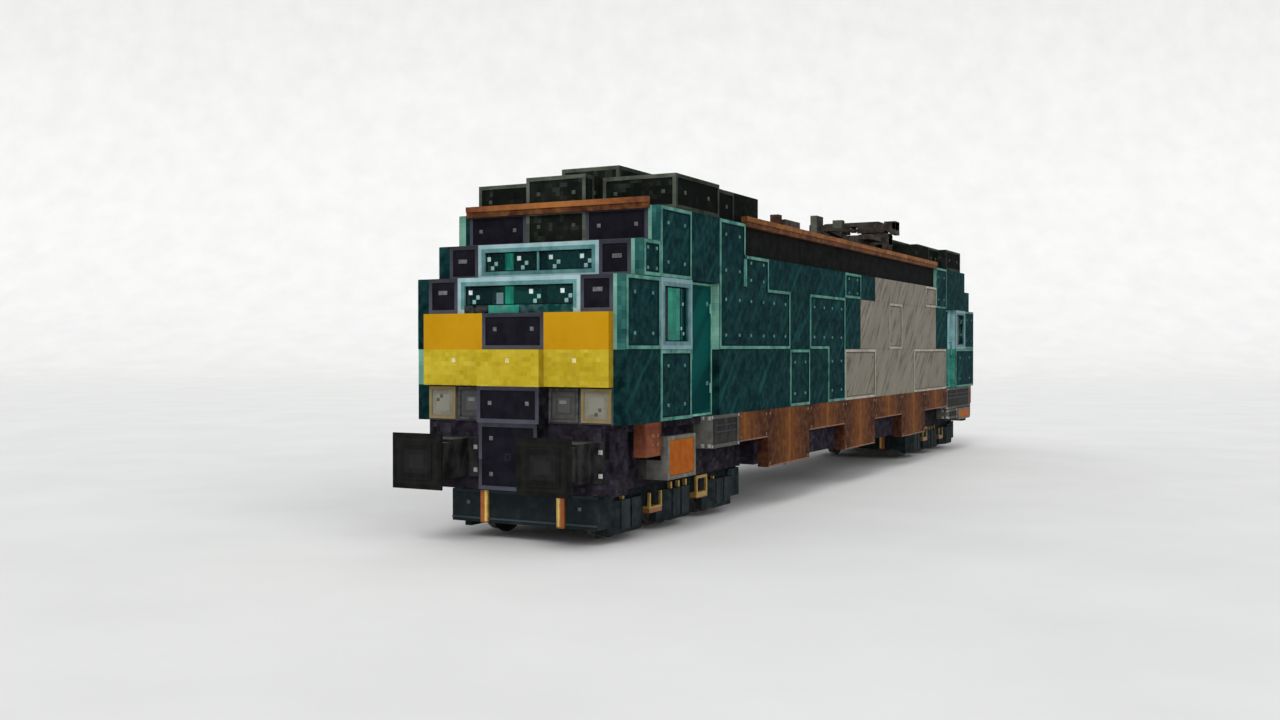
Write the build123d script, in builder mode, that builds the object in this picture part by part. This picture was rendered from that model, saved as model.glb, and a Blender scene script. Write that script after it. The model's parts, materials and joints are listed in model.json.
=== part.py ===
from build123d import *
import os

os.makedirs("parts", exist_ok=True)

# A six-axle locomotive with a stepped cab at each end, drawn at full size.
# X is across, Y is along with the front cab at -Y, and Z is up from the wheel flanges' lowest points.

# Body grid
bay = 880.0                      # length of one body panel
bays_long = 20.25                # nose face to nose face, in bays
row = 440.0                      # height of one panel row
sole = 1466.0                    # underside of the side walls, which is also the cab floor
inner_half_width = 1320.0        # half the clear width inside the walls
wall = 165.0                     # thickness of a side wall
half_width = inner_half_width + wall
nose_to_centre = bays_long / 2 * bay


def station(bays_back):
    """Y of a place counted in bays behind the front nose."""
    return bays_back * bay - nose_to_centre


def level(rows_up):
    """Z of a place counted in panel rows above the sole."""
    return sole + rows_up * row


def facing_front(y):
    """Plane whose sketch is drawn in X and Z, and whose extrusions run towards the front from y."""
    return Plane.XZ.offset(-y)


def inset(corners, margin):
    """Corners of an outline with square turns, listed anticlockwise, moved inwards by a margin."""
    moved = []
    for before, here, after in zip(corners[-1:] + corners[:-1], corners, corners[1:] + corners[:1]):
        x, y = here
        for start, end in ((before, here), (here, after)):
            run = abs(end[0] - start[0]) + abs(end[1] - start[1])
            x -= margin * (end[1] - start[1]) / run
            y += margin * (end[0] - start[0]) / run
        moved.append((x, y))
    return moved


# Relief of the framed panels
panel_bar = 50.0                 # width of the frame round a panel
panel_relief = 12.0              # how far a frame stands above its panel
frame_margin = 6.0               # seam round a frame

# Cab ends
step = 440.0                     # each screen row stands this far behind the one below
lamp_row_back = 110.0            # lamp row and lower screen behind the nose face
nose_depth = 220.0               # thickness of the nose blocks
end_wall = 110.0                 # thickness of the screen rows
ledge = 55.0                     # thickness of the ledges between the screen rows
nose_block = 440.0               # half width of the middle block of the nose
nose_proud = 110.0               # how far the middle block stands out
screen_half_width = 880.0
screen_bar = 100.0               # width of the frame round a screen or window
screen_post = 24.0               # post in the middle of the upper screen
window_frame_proud = 18.0
glass = 12.0
screen_y = [station(0) + lamp_row_back + step * n for n in range(3)]
cab_length = 4.125 * bay         # from the nose to the cab wall's rear edge
roof_front = screen_y[2] + step  # front of the side roof boxes

# Side openings, measured in bays and rows
window_front = 1.125
window_rear = 2.125
window_low = 2
window_high = 4
door_front = 2.125
door_rear = 3.125
door_rows = 4
door_post = 30.0                 # wall left between the window's frame and the doorway

# Door leaf and hinges
leaf = 55.0
leaf_gap = 6.0
leaf_bar = 70.0
leaf_relief = 10.0
hinge_pin_radius = 9.0
hinge_fit = 0.05
hinge_barrel_radius = 22.0
hinge_lug_half = 15.0            # half width of a lug round the pin
hinge_inset = 30.0               # pin centre inside the wall's inner face
hinge_barrel = 1200.0            # height of the barrel
hinge_lug = 30.0
hinge_running = 0.3              # end play above and below the barrel
hinge_height = 850.0             # middle of the barrel above the floor

# Roof
roof_skin = 60.0
deck_skin = 60.0
hood_rise = 220.0                # raised middle of each cab roof
hood_step = 2.125                # bays behind the nose where the hood rises
clerestory_half_width = 830.0
clerestory_height = 220.0
strip_height = 140.0
strip_drop = 35.0                # strip below the top of the walls
strip_proud = 35.0
strip_step = 14.0                # lower half of the strip behind its upper half
brow_proud = 60.0
brow_half_width = 1346.0
band_recess = 55.0               # black band behind the face of the walls
band_wall = 110.0

# Underframe
deck = 100.0
apron = 55.0
apron_face = 1100.0              # outer face of the aprons beside the bogies
apron_bottom = 640.0
belly_front = 4.95               # bays behind the nose where the belly starts
belly_bottom = 660.0
beam_back = 121.0                # face of the buffer beam behind the nose face
beam_depth = 350.0
beam_bottom = 630.0
beam_rear = beam_back + beam_depth

# Bogies
bogie_station = 2.65             # pivot, in bays behind the nose
axle_pitch = 1400.0
tread_radius = 420.0
flange = 28.0
flange_width = 32.0
rim_width = 135.0
wheel_back = 680.0               # inner face of a wheel from the centre line
axle_radius = 85.0
journal_radius = 70.0
journal_fit = 0.1
journal_end = 1040.0
journal_end_gap = 5.0
axle_height = tread_radius + flange
axle_offsets = [-axle_pitch, 0.0, axle_pitch]
beam_inner = 900.0               # side beams of a bogie
beam_outer = 1000.0
box_outer = 1100.0               # outer face of the axle boxes
box_length = 1000.0
box_face = 560.0
box_low = 120.0
box_high = 524.0
box_pad = 210.0                  # width of each raised pad on a box
box_pad_gap = 60.0
box_pad_edge = 50.0
box_pad_proud = 15.0
frame_low = 330.0
frame_high = 620.0
pilot_back = 229.0               # face of a bogie's end plate behind the nose face
pilot_reach = bogie_station * bay - pilot_back
pilot_half_width = 1048.0
pilot_low = 208.0
pilot_high = 608.0
pilot_plate = 100.0
pilot_return = 396.0             # length of the cheeks behind each end plate
pilot_cheek = 60.0
pilot_ridge = 20.0
pilot_ridge_height = 40.0        # ridge above the lower edge
pilot_ridge_proud = 12.0
brass_x = 548.0                  # centre of the brass bars on the end plates
brass_width = 105.0
cross_beam = 240.0
cross_beam_low = 400.0
bolster_half_width = 600.0
bolster_top = 760.0
bolster_seat = 0.3
pivot_radius = 150.0
pivot_fit = 0.1
pivot_depth = 100.0              # pin below the bolster's top
pivot_bore = 400.0
boss_top = 1100.0                # length of the pivot's boss at the deck
boss_foot = 800.0                # its length at the bolster, and its width
bogie_y = station(bogie_station)

# Framed side panels with square corners
# Columns: first bay, last bay, lowest row, highest row
teal_frames = [
    (0.125, 1.125, 2, 4),
    (0.625, 1.125, 4, 5),
    (1.125, 2.125, 4, 6),
    (1.125, 2.125, 0, 2),
    (6.125, 7.125, 0, 2),
    (9.125, 10.125, 4, 5),
    (16.125, 17.125, 4, 6),
    (18.125, 20.125, 0, 2),
    (19.125, 20.125, 2, 4),
]
beige_frames = [
    (12.125, 13.125, 2, 4),
    (9.125, 11.125, 0, 2),
    (14.125, 17.125, 0, 2),
    (15.125, 16.125, 4, 5),
]
# Framed panels of other outlines, each a list of corners in bays and rows
stair_panel = [(3.125, 2), (6.125, 2), (6.125, 4), (5.125, 4), (5.125, 5), (4.125, 5), (4.125, 6), (3.125, 6)]
corner_panel = [(7.125, 2), (8.125, 2), (8.125, 0), (9.125, 0), (9.125, 4), (7.125, 4)]
# Steps where the dark green of the side gives way to beige: lowest row, highest row, bay
colour_steps = [(0, 2, 9.125), (2, 4, 10.125), (4, 5, 11.125)]
beige_end = 16.125
beige_low_end = 17.125


# Underframe: deck, belly between the bogies, aprons beside them, and the pivots on their bosses
with BuildPart() as underframe:
    with BuildSketch(facing_front(0)):
        with Locations((0, sole - deck / 2)):
            Rectangle(2 * inner_half_width, deck)
    extrude(amount=nose_to_centre - beam_rear)
    with BuildSketch(facing_front(0)):
        with Locations((0, (belly_bottom + sole - deck) / 2)):
            Rectangle(2 * inner_half_width, sole - deck - belly_bottom)
    extrude(amount=-station(belly_front))
    for side in (-1, 1):
        with BuildSketch(Plane.YZ.offset(side * (apron_face - apron / 2))):
            apron_front = station(0) + beam_rear
            with Locations(((apron_front + station(belly_front)) / 2, (apron_bottom + sole - deck) / 2)):
                Rectangle(station(belly_front) - apron_front, sole - deck - apron_bottom)
        extrude(amount=apron / 2, both=True)
    with BuildSketch(Plane.YZ):
        with BuildLine():
            Polyline(
                (bogie_y - boss_top / 2, sole - deck),
                (bogie_y - boss_foot / 2, bolster_top + bolster_seat),
                (bogie_y + boss_foot / 2, bolster_top + bolster_seat),
                (bogie_y + boss_top / 2, sole - deck),
                close=True,
            )
        make_face()
    extrude(amount=boss_foot / 2, both=True)
    with BuildSketch(Plane.XY.offset(sole - deck)):
        with Locations((0, bogie_y)):
            Circle(pivot_radius)
    extrude(amount=-(sole - deck - bolster_top + pivot_depth))
    mirror(about=Plane.XZ)
underframe.part.label = "underframe"
export_step(underframe.part, "parts/underframe.step")


with BuildPart() as buffer_beams:
    with BuildSketch(facing_front(station(0) + beam_rear)):
        with Locations((0, (beam_bottom + sole) / 2)):
            Rectangle(2 * inner_half_width, sole - beam_bottom)
    extrude(amount=beam_depth)
    mirror(about=Plane.XZ)
buffer_beams.part.label = "buffer_beams"
export_step(buffer_beams.part, "parts/buffer_beams.step")


# Buffers: base plate, housing, plunger and a square head with a raised middle
buffer_x = 880.0
buffer_z = 1026.0
buffer_reach = 722.0             # face of the head in front of the nose face
buffer_head_width = 715.0
buffer_head_height = 660.0
buffer_head = 40.0
buffer_pad = 440.0
buffer_pad_proud = 12.0
# Columns: width, height, length in front of the beam
buffer_stock = [
    (640.0, 480.0, 40.0),
    (352.0, 466.0, 376.0),
    (310.0, 396.0, beam_back + buffer_reach - buffer_head / 2),
]
with BuildPart() as buffers:
    for side in (-1, 1):
        for width, height, length in buffer_stock:
            with BuildSketch(facing_front(station(0) + beam_back)):
                with Locations((side * buffer_x, buffer_z)):
                    Rectangle(width, height)
            extrude(amount=length)
        with BuildSketch(facing_front(station(0) - buffer_reach + buffer_head)):
            with Locations((side * buffer_x, buffer_z)):
                Rectangle(buffer_head_width, buffer_head_height)
        extrude(amount=buffer_head - buffer_pad_proud)
        with BuildSketch(facing_front(station(0) - buffer_reach + buffer_head)):
            with Locations((side * buffer_x, buffer_z)):
                Rectangle(buffer_pad, buffer_pad)
        extrude(amount=buffer_head)
    mirror(about=Plane.XZ)
buffers.part.label = "buffers"
export_step(buffers.part, "parts/buffers.step")


cover_half_width = 415.0
cover_low = 660.0
with BuildPart() as coupling_covers:
    with BuildSketch(facing_front(station(0) + beam_back)):
        with Locations((0, (cover_low + sole) / 2)):
            Rectangle(2 * cover_half_width, sole - cover_low)
    extrude(amount=beam_back + nose_proud)
    with BuildSketch(facing_front(station(0) - nose_proud)):
        with Locations((0, (cover_low + sole) / 2)):
            Rectangle(2 * (cover_half_width - panel_bar), sole - cover_low - 2 * panel_bar)
    extrude(amount=-panel_relief, mode=Mode.SUBTRACT)
    mirror(about=Plane.XZ)
coupling_covers.part.label = "coupling_covers"
export_step(coupling_covers.part, "parts/coupling_covers.step")


# Nose rows: bright yellow below, orange-yellow above
with BuildPart() as nose_lower:
    with BuildSketch(facing_front(station(0) + nose_depth)):
        with Locations((0, level(1.5))):
            Rectangle(2 * inner_half_width, row)
    extrude(amount=nose_depth)
    with BuildSketch(facing_front(station(0))):
        with Locations((0, level(1.5))):
            Rectangle(2 * nose_block, row)
    extrude(amount=nose_proud)
    mirror(about=Plane.XZ)
nose_lower.part.label = "nose_lower"
export_step(nose_lower.part, "parts/nose_lower.step")


with BuildPart() as nose_upper:
    for side in (-1, 1):
        with BuildSketch(facing_front(station(0) + nose_depth)):
            with Locations((side * (nose_block + inner_half_width) / 2, level(2.5))):
                Rectangle(inner_half_width - nose_block, row)
        extrude(amount=nose_depth)
    mirror(about=Plane.XZ)
nose_upper.part.label = "nose_upper"
export_step(nose_upper.part, "parts/nose_upper.step")


# Dark panels of the cab ends, each sunk inside its frame
# Columns: inner x, outer x, lowest row, highest row, face behind the nose, thickness
middle_panels = [
    (-nose_block, nose_block, 0, 1, -nose_proud, nose_depth + nose_proud),
    (-nose_block, nose_block, 2, 3, 0, nose_depth),
]
outer_panels = [
    (screen_half_width, inner_half_width, 3, 4, lamp_row_back, end_wall),
    (screen_half_width, inner_half_width, 4, 5, lamp_row_back + step, end_wall),
    (nose_block, inner_half_width, 5, 6, lamp_row_back + 2 * step, end_wall),
]
dark_panels = middle_panels + outer_panels
for inner, outer, low, high, back, thick in outer_panels:
    dark_panels.append((-outer, -inner, low, high, back, thick))
# Ledges: inner x, outer x, row at the top, front behind the nose, rear behind the nose
screen_back = lamp_row_back + end_wall
ledges = [
    (0, inner_half_width, 4, screen_back, screen_back + step),
    (0, inner_half_width, 5, screen_back + step, screen_back + 2 * step),
    (nose_block, inner_half_width, 6, screen_back + 2 * step, lamp_row_back + 3 * step + roof_skin),
]
with BuildPart() as end_panels:
    with BuildSketch(facing_front(station(0) + nose_depth)):
        with Locations((0, level(0.5))):
            Rectangle(2 * inner_half_width, row)
    extrude(amount=nose_depth - lamp_row_back)
    for side in (-1, 1):
        for inner, outer, top, front, rear in ledges:
            with BuildSketch(Plane.XY.offset(level(top))):
                with Locations((side * (inner + outer) / 2, station(0) + (front + rear) / 2)):
                    Rectangle(outer - inner, rear - front)
            extrude(amount=-ledge)
    for left, right, low, high, back, thick in dark_panels:
        with BuildSketch(facing_front(station(0) + back + thick)):
            with Locations(((left + right) / 2, level((low + high) / 2))):
                Rectangle(right - left, (high - low) * row)
        extrude(amount=thick)
    for left, right, low, high, back, thick in dark_panels:
        with BuildSketch(facing_front(station(0) + back)):
            with Locations(((left + right) / 2, level((low + high) / 2))):
                Rectangle(right - left - 2 * panel_bar, (high - low) * row - 2 * panel_bar)
        extrude(amount=-panel_relief, mode=Mode.SUBTRACT)
    mirror(about=Plane.XZ)
end_panels.part.label = "end_panels"
export_step(end_panels.part, "parts/end_panels.step")


# Pale frames of the windscreens and the cab side windows
with BuildPart() as window_frames:
    for n in range(2):
        with BuildSketch(facing_front(screen_y[n] + end_wall)):
            with Locations((0, level(3.5 + n))):
                Rectangle(2 * screen_half_width, row)
                Rectangle(2 * (screen_half_width - screen_bar), row - 2 * screen_bar, mode=Mode.SUBTRACT)
        extrude(amount=end_wall)
    with BuildSketch(facing_front(screen_y[1] + end_wall / 2 - glass)):
        with Locations((0, level(4.5))):
            Rectangle(screen_post, row - screen_bar)
    extrude(amount=screen_post)
    for side in (-1, 1):
        with BuildSketch(Plane.YZ.offset(side * half_width)):
            with Locations((station((window_front + window_rear) / 2), level((window_low + window_high) / 2))):
                Rectangle(bay, 2 * row)
                Rectangle(bay - 2 * screen_bar, 2 * row - 2 * screen_bar, mode=Mode.SUBTRACT)
        extrude(amount=side * window_frame_proud)
    mirror(about=Plane.XZ)
window_frames.part.label = "window_frames"
export_step(window_frames.part, "parts/window_frames.step")


with BuildPart() as window_glass:
    for n in range(2):
        with BuildSketch(facing_front(screen_y[n] + end_wall / 2)):
            with Locations((0, level(3.5 + n))):
                Rectangle(2 * (screen_half_width - screen_bar), row - 2 * screen_bar)
        extrude(amount=glass)
    for side in (-1, 1):
        with BuildSketch(Plane.YZ.offset(side * (half_width - wall / 3))):
            with Locations((station((window_front + window_rear) / 2), level((window_low + window_high) / 2))):
                Rectangle(bay - 2 * screen_bar, 2 * row - 2 * screen_bar)
        extrude(amount=side * glass)
    mirror(about=Plane.XZ)
window_glass.part.label = "window_glass"
export_step(window_glass.part, "parts/window_glass.step")


# Cab side walls with their stepped fronts, windows, doorways and hinge pins
hinge_y = station(door_rear)
barrel_low = sole + hinge_height - hinge_barrel / 2
lug_levels = (barrel_low - hinge_running - hinge_lug, barrel_low + hinge_barrel + hinge_running)
with BuildPart() as cab_sides:
    for side in (-1, 1):
        with BuildSketch(Plane.YZ.offset(side * inner_half_width)):
            with BuildLine():
                Polyline(
                    (screen_y[0], sole),
                    (screen_y[0], level(4)),
                    (screen_y[1], level(4)),
                    (screen_y[1], level(5)),
                    (screen_y[2], level(5)),
                    (screen_y[2], level(6)),
                    (station(0) + cab_length, level(6)),
                    (station(0) + cab_length, sole),
                    close=True,
                )
            make_face()
            with Locations((station((window_front + window_rear) / 2), level((window_low + window_high) / 2))):
                Rectangle(bay - 2 * screen_bar, 2 * row - 2 * screen_bar, mode=Mode.SUBTRACT)
            with Locations(((station(door_front) + door_post + station(door_rear)) / 2, level(door_rows / 2))):
                Rectangle(bay - door_post, door_rows * row, mode=Mode.SUBTRACT)
        extrude(amount=side * wall)
        pin_x = side * (inner_half_width - hinge_inset)
        arm_x = side * (inner_half_width - (hinge_inset + hinge_lug_half) / 2)
        for lug_z in lug_levels:
            with BuildSketch(Plane.XY.offset(lug_z)):
                with Locations((pin_x, hinge_y)):
                    Rectangle(2 * hinge_lug_half, 2 * hinge_lug_half)
                with Locations((arm_x, hinge_y + hinge_barrel_radius)):
                    Rectangle(hinge_inset + hinge_lug_half, 2 * hinge_barrel_radius)
            extrude(amount=hinge_lug)
        with BuildSketch(Plane.XY.offset(lug_levels[0])):
            with Locations((pin_x, hinge_y)):
                Circle(hinge_pin_radius)
        extrude(amount=lug_levels[1] - lug_levels[0])
    mirror(about=Plane.XZ)
    # Beside the rear cab's door the beige side panel runs on to the doorway
    for side in (-1, 1):
        with BuildSketch(Plane.YZ.offset(side * inner_half_width)):
            with Locations((station((beige_end + beige_low_end) / 2), level(1))):
                Rectangle((beige_low_end - beige_end) * bay, 2 * row)
        extrude(amount=side * wall, mode=Mode.SUBTRACT)
cab_sides.part.label = "cab_sides"
export_step(cab_sides.part, "parts/cab_sides.step")


# Engine room sides: dark green, then beige, parted by a stair of panel rows
with BuildPart() as side_teal:
    for side in (-1, 1):
        with BuildSketch(Plane.YZ.offset(side * inner_half_width)):
            for low, high, end in colour_steps:
                with Locations(((station(0) + cab_length + station(end)) / 2, level((low + high) / 2))):
                    Rectangle(station(end) - station(0) - cab_length, (high - low) * row)
        extrude(amount=side * wall)
side_teal.part.label = "side_teal"
export_step(side_teal.part, "parts/side_teal.step")


with BuildPart() as side_beige:
    for side in (-1, 1):
        with BuildSketch(Plane.YZ.offset(side * inner_half_width)):
            for low, high, start in colour_steps:
                end = beige_low_end if low == 0 else beige_end
                with Locations((station((start + end) / 2), level((low + high) / 2))):
                    Rectangle((end - start) * bay, (high - low) * row)
        extrude(amount=side * wall)
side_beige.part.label = "side_beige"
export_step(side_beige.part, "parts/side_beige.step")


# Black band below the roof, and the copper strips above it and over the screens
band_half_length = nose_to_centre - cab_length
with BuildPart() as roof_bands:
    for side in (-1, 1):
        with BuildSketch(Plane.YZ.offset(side * (half_width - band_recess))):
            with Locations((0, level(5.5))):
                Rectangle(2 * band_half_length, row)
        extrude(amount=-side * band_wall)
roof_bands.part.label = "roof_bands"
export_step(roof_bands.part, "parts/roof_bands.step")


# Each strip has a stepped section: the upper half stands out above the lower half
with BuildPart() as copper_strips:
    strip_low = level(6) - strip_drop
    for rise, back in ((0, strip_step), (strip_height / 2, 0)):
        for side in (-1, 1):
            with BuildSketch(Plane.YZ.offset(side * (half_width - band_recess))):
                with Locations((0, strip_low + rise + strip_height / 4)):
                    Rectangle(2 * band_half_length, strip_height / 2)
            extrude(amount=side * (band_recess + strip_proud - back))
        with BuildSketch(facing_front(screen_y[2])):
            with Locations((0, strip_low + rise + strip_height / 4)):
                Rectangle(2 * brow_half_width, strip_height / 2)
        extrude(amount=brow_proud - back)
    mirror(about=Plane.XZ)
copper_strips.part.label = "copper_strips"
export_step(copper_strips.part, "parts/copper_strips.step")


# Roof deck with its raised middle, the hatches on it and the slots of the radiator grille
hatch_width = 1200.0
hatch_length = 1100.0
hatch_relief = 15.0
hatch_stations = (6.2, 7.9)
slot_width = 60.0
slot_length = 1200.0
slot_pitch = 120.0
slot_depth = 80.0
slot_count = 8
slot_station = 9.1
with BuildPart() as roof_deck:
    with BuildSketch(Plane.XY.offset(level(6) - deck_skin)):
        Rectangle(2 * inner_half_width, -2 * station(3.125))
    extrude(amount=deck_skin)
    with BuildSketch(Plane.XY.offset(level(6))):
        Rectangle(2 * clerestory_half_width, -2 * station(5.125))
    extrude(amount=clerestory_height)
    with BuildSketch(Plane.XY.offset(level(6) + clerestory_height)):
        for place in hatch_stations:
            with Locations((0, station(place))):
                Rectangle(hatch_width, hatch_length)
    extrude(amount=hatch_relief)
    with BuildSketch(Plane.XY.offset(level(6) + clerestory_height)):
        with Locations((0, station(slot_station))):
            with GridLocations(0, slot_pitch, 1, slot_count):
                Rectangle(slot_length, slot_width)
    extrude(amount=-slot_depth, mode=Mode.SUBTRACT)
roof_deck.part.label = "roof_deck"
export_step(roof_deck.part, "parts/roof_deck.step")


# Cab roofs: a tall hood in the middle between stepped boxes, hollow underneath
hood_rear = station(5.125)
box_split = station(3.125)
box_frame_end = station(4.125)
with BuildPart() as cab_roofs:
    with BuildSketch(Plane.YZ):
        with BuildLine():
            Polyline(
                (screen_y[2], level(5)),
                (screen_y[2], level(7)),
                (station(hood_step), level(7)),
                (station(hood_step), level(7) + hood_rise),
                (hood_rear, level(7) + hood_rise),
                (hood_rear, level(6)),
                (screen_y[2] + end_wall, level(6)),
                (screen_y[2] + end_wall, level(5)),
                close=True,
            )
        make_face()
    extrude(amount=nose_block, both=True)
    # Columns: half width, front, rear
    roof_steps = [
        (half_width, roof_front, box_split),
        (inner_half_width, box_split, hood_rear),
    ]
    for half, front, rear in roof_steps:
        with BuildSketch(Plane.XY.offset(level(6))):
            with Locations((0, (front + rear) / 2)):
                Rectangle(2 * half, rear - front)
        extrude(amount=row)
    # Hollow of the side boxes, then of the hood
    with BuildSketch(Plane.XY.offset(level(6))):
        with Locations((0, (roof_front + box_split) / 2)):
            Rectangle(2 * inner_half_width, box_split - roof_front - 2 * roof_skin)
    extrude(amount=row - roof_skin, mode=Mode.SUBTRACT)
    with BuildSketch(Plane.YZ):
        with BuildLine():
            Polyline(
                (screen_y[2] + end_wall, level(6)),
                (screen_y[2] + end_wall, level(7) - roof_skin),
                (station(hood_step) + roof_skin, level(7) - roof_skin),
                (station(hood_step) + roof_skin, level(7) + hood_rise - roof_skin),
                (box_split - roof_skin, level(7) + hood_rise - roof_skin),
                (box_split - roof_skin, level(6)),
                close=True,
            )
        make_face()
    extrude(amount=nose_block - roof_skin, both=True, mode=Mode.SUBTRACT)
    # Panels sunk inside their frames: the hood's two front panels, the fronts of the side boxes, then the sides
    for low, high in ((5, 6), (6, 7)):
        with BuildSketch(facing_front(screen_y[2])):
            with Locations((0, level((low + high) / 2))):
                Rectangle(2 * (nose_block - panel_bar), row - 2 * panel_bar)
        extrude(amount=-panel_relief, mode=Mode.SUBTRACT)
    for side in (-1, 1):
        with BuildSketch(facing_front(roof_front)):
            with Locations((side * (nose_block + half_width) / 2, level(6.5))):
                Rectangle(half_width - nose_block - 2 * panel_bar, row - 2 * panel_bar)
        extrude(amount=-panel_relief, mode=Mode.SUBTRACT)
        # Columns: face, front, rear
        for face_x, front, rear in (
            (half_width, roof_front, box_split),
            (inner_half_width, box_split, box_frame_end),
        ):
            with BuildSketch(Plane.YZ.offset(side * face_x)):
                with Locations(((front + rear) / 2, level(6.5))):
                    Rectangle(rear - front - 2 * panel_bar, row - 2 * panel_bar)
            extrude(amount=-side * panel_relief, mode=Mode.SUBTRACT)
    mirror(about=Plane.XZ)
cab_roofs.part.label = "cab_roofs"
export_step(cab_roofs.part, "parts/cab_roofs.step")


# Cab linings: the wall behind the driver and the desk under the screens
bulkhead_front = 3.3125          # bays behind the nose
bulkhead = 110.0
desk_front = 0.3
desk_rear = 0.85
desk_height = 1000.0
desk_binnacle = 160.0            # instrument hood above and behind the desk's front
desk_edge = 90.0
desk_knee = 120.0                # knee space under the rear edge
desk_half_width = 1180.0
with BuildPart() as cab_linings:
    with BuildSketch(facing_front(station(bulkhead_front) + bulkhead)):
        with Locations((0, (sole + level(6) - deck_skin) / 2)):
            Rectangle(2 * inner_half_width, level(6) - deck_skin - sole)
    extrude(amount=bulkhead)
    with BuildSketch(Plane.YZ):
        with BuildLine():
            Polyline(
                (station(desk_front), sole),
                (station(desk_front), sole + desk_height + desk_binnacle),
                (station(desk_front) + desk_binnacle, sole + desk_height + desk_binnacle),
                (station(desk_rear), sole + desk_height),
                (station(desk_rear), sole + desk_height - desk_edge),
                (station(desk_rear) - desk_knee, sole + desk_height - desk_binnacle),
                (station(desk_rear) - desk_knee, sole),
                close=True,
            )
        make_face()
    extrude(amount=desk_half_width, both=True)
    mirror(about=Plane.XZ)
cab_linings.part.label = "cab_linings"
export_step(cab_linings.part, "parts/cab_linings.step")


# Drivers' seats on pedestals, drawn from the side
seat_x = 700.0
seat_half_width = 240.0
seat_depth = 520.0
seat_height = 480.0
seat_cushion = 100.0
seat_back_height = 1150.0
seat_back = 100.0
seat_rake = 50.0
seat_pedestal = 160.0
with BuildPart() as seats:
    seat_rear = station(2.0)
    seat_under = sole + seat_height - seat_cushion
    for side in (-1, 1):
        with BuildSketch(Plane.YZ.offset(side * seat_x)):
            with BuildLine():
                Polyline(
                    (seat_rear - 2 * seat_pedestal, sole),
                    (seat_rear - 2 * seat_pedestal, seat_under),
                    (seat_rear - seat_depth, seat_under),
                    (seat_rear - seat_depth, sole + seat_height),
                    (seat_rear - seat_back, sole + seat_height),
                    (seat_rear - seat_back + seat_rake, sole + seat_back_height),
                    (seat_rear + seat_rake, sole + seat_back_height),
                    (seat_rear, seat_under),
                    (seat_rear - seat_pedestal, seat_under),
                    (seat_rear - seat_pedestal, sole),
                    close=True,
                )
            make_face()
        extrude(amount=seat_half_width, both=True)
    mirror(about=Plane.XZ)
seats.part.label = "seats"
export_step(seats.part, "parts/seats.step")


engine_width = 1400.0
engine_length = 6160.0
engine_height = 1600.0
with BuildPart() as engine_block:
    with BuildSketch(Plane.XY.offset(sole)):
        Rectangle(engine_width, engine_length)
    extrude(amount=engine_height)
engine_block.part.label = "engine_block"
export_step(engine_block.part, "parts/engine_block.step")


# Copper skirts: shallow lengths between deep tanks, and a short piece under each cab
skirt_shallow = 408.0
skirt_deep = 850.0
# Columns: first bay, last bay, depth below the sole
skirts = [
    (0.7, 1.16, skirt_shallow),
    (3.9, 5.125, skirt_shallow),
    (5.125, 7.125, skirt_deep),
    (7.125, 9.125, skirt_shallow),
    (9.125, 11.125, skirt_deep),
    (11.125, 13.125, skirt_shallow),
    (13.125, 15.125, skirt_deep),
    (15.125, 17.25, skirt_shallow),
    (19.72, 19.9, skirt_shallow),
]
with BuildPart() as skirt_tanks:
    for side in (-1, 1):
        with BuildSketch(Plane.YZ.offset(side * inner_half_width)):
            for first, last, depth in skirts:
                with Locations((station((first + last) / 2), sole - depth / 2)):
                    Rectangle((last - first) * bay, depth)
        extrude(amount=side * wall)
skirt_tanks.part.label = "skirt_tanks"
export_step(skirt_tanks.part, "parts/skirt_tanks.step")


# Boxes hung beside the bogies: tall cabinets and the housings of blank boards, each with a sunk face
board_face = half_width + 35.0   # the boards stand out past the side walls
board_plate = 100.0
# Columns: first bay, last bay, top and bottom below the sole, outer face, thickness of the outer part,
# top of the inner part below the sole
side_box_table = [
    (2.84, 3.9, 0.0, 437.0, half_width, wall, deck),
    (1.29, 2.2, 187.0, 725.0, board_face, board_plate, 484.0),
    (17.3, 19.7, 0.0, 470.0, half_width, wall, deck),
    (17.4, 18.3, 480.0, 690.0, half_width, wall, 480.0),
    (18.35, 19.6, 480.0, 740.0, board_face, board_plate, 480.0),
]
with BuildPart() as side_boxes:
    for side in (-1, 1):
        for first, last, top, bottom, outer, thick, inner_top in side_box_table:
            with BuildSketch(facing_front(station(last))):
                with Locations((side * (apron_face + outer) / 2, sole - (inner_top + bottom) / 2)):
                    Rectangle(outer - apron_face, bottom - inner_top)
                with Locations((side * (outer - thick / 2), sole - (top + bottom) / 2)):
                    Rectangle(thick, bottom - top)
            extrude(amount=(last - first) * bay)
            with BuildSketch(Plane.YZ.offset(side * outer)):
                with Locations((station((first + last) / 2), sole - (top + bottom) / 2)):
                    Rectangle((last - first) * bay - 2 * panel_bar, bottom - top - 2 * panel_bar)
            extrude(amount=-side * panel_relief, mode=Mode.SUBTRACT)
side_boxes.part.label = "side_boxes"
export_step(side_boxes.part, "parts/side_boxes.step")


# Lamps of the cab ends, two beside each other on each side, each a bezel round a sunk lens
lamp_bay = (inner_half_width - nose_block) / 2
lamp_edge = 20.0
lamp_bezel = 40.0
lamp_proud = 25.0
lens_depth = 12.0
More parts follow.
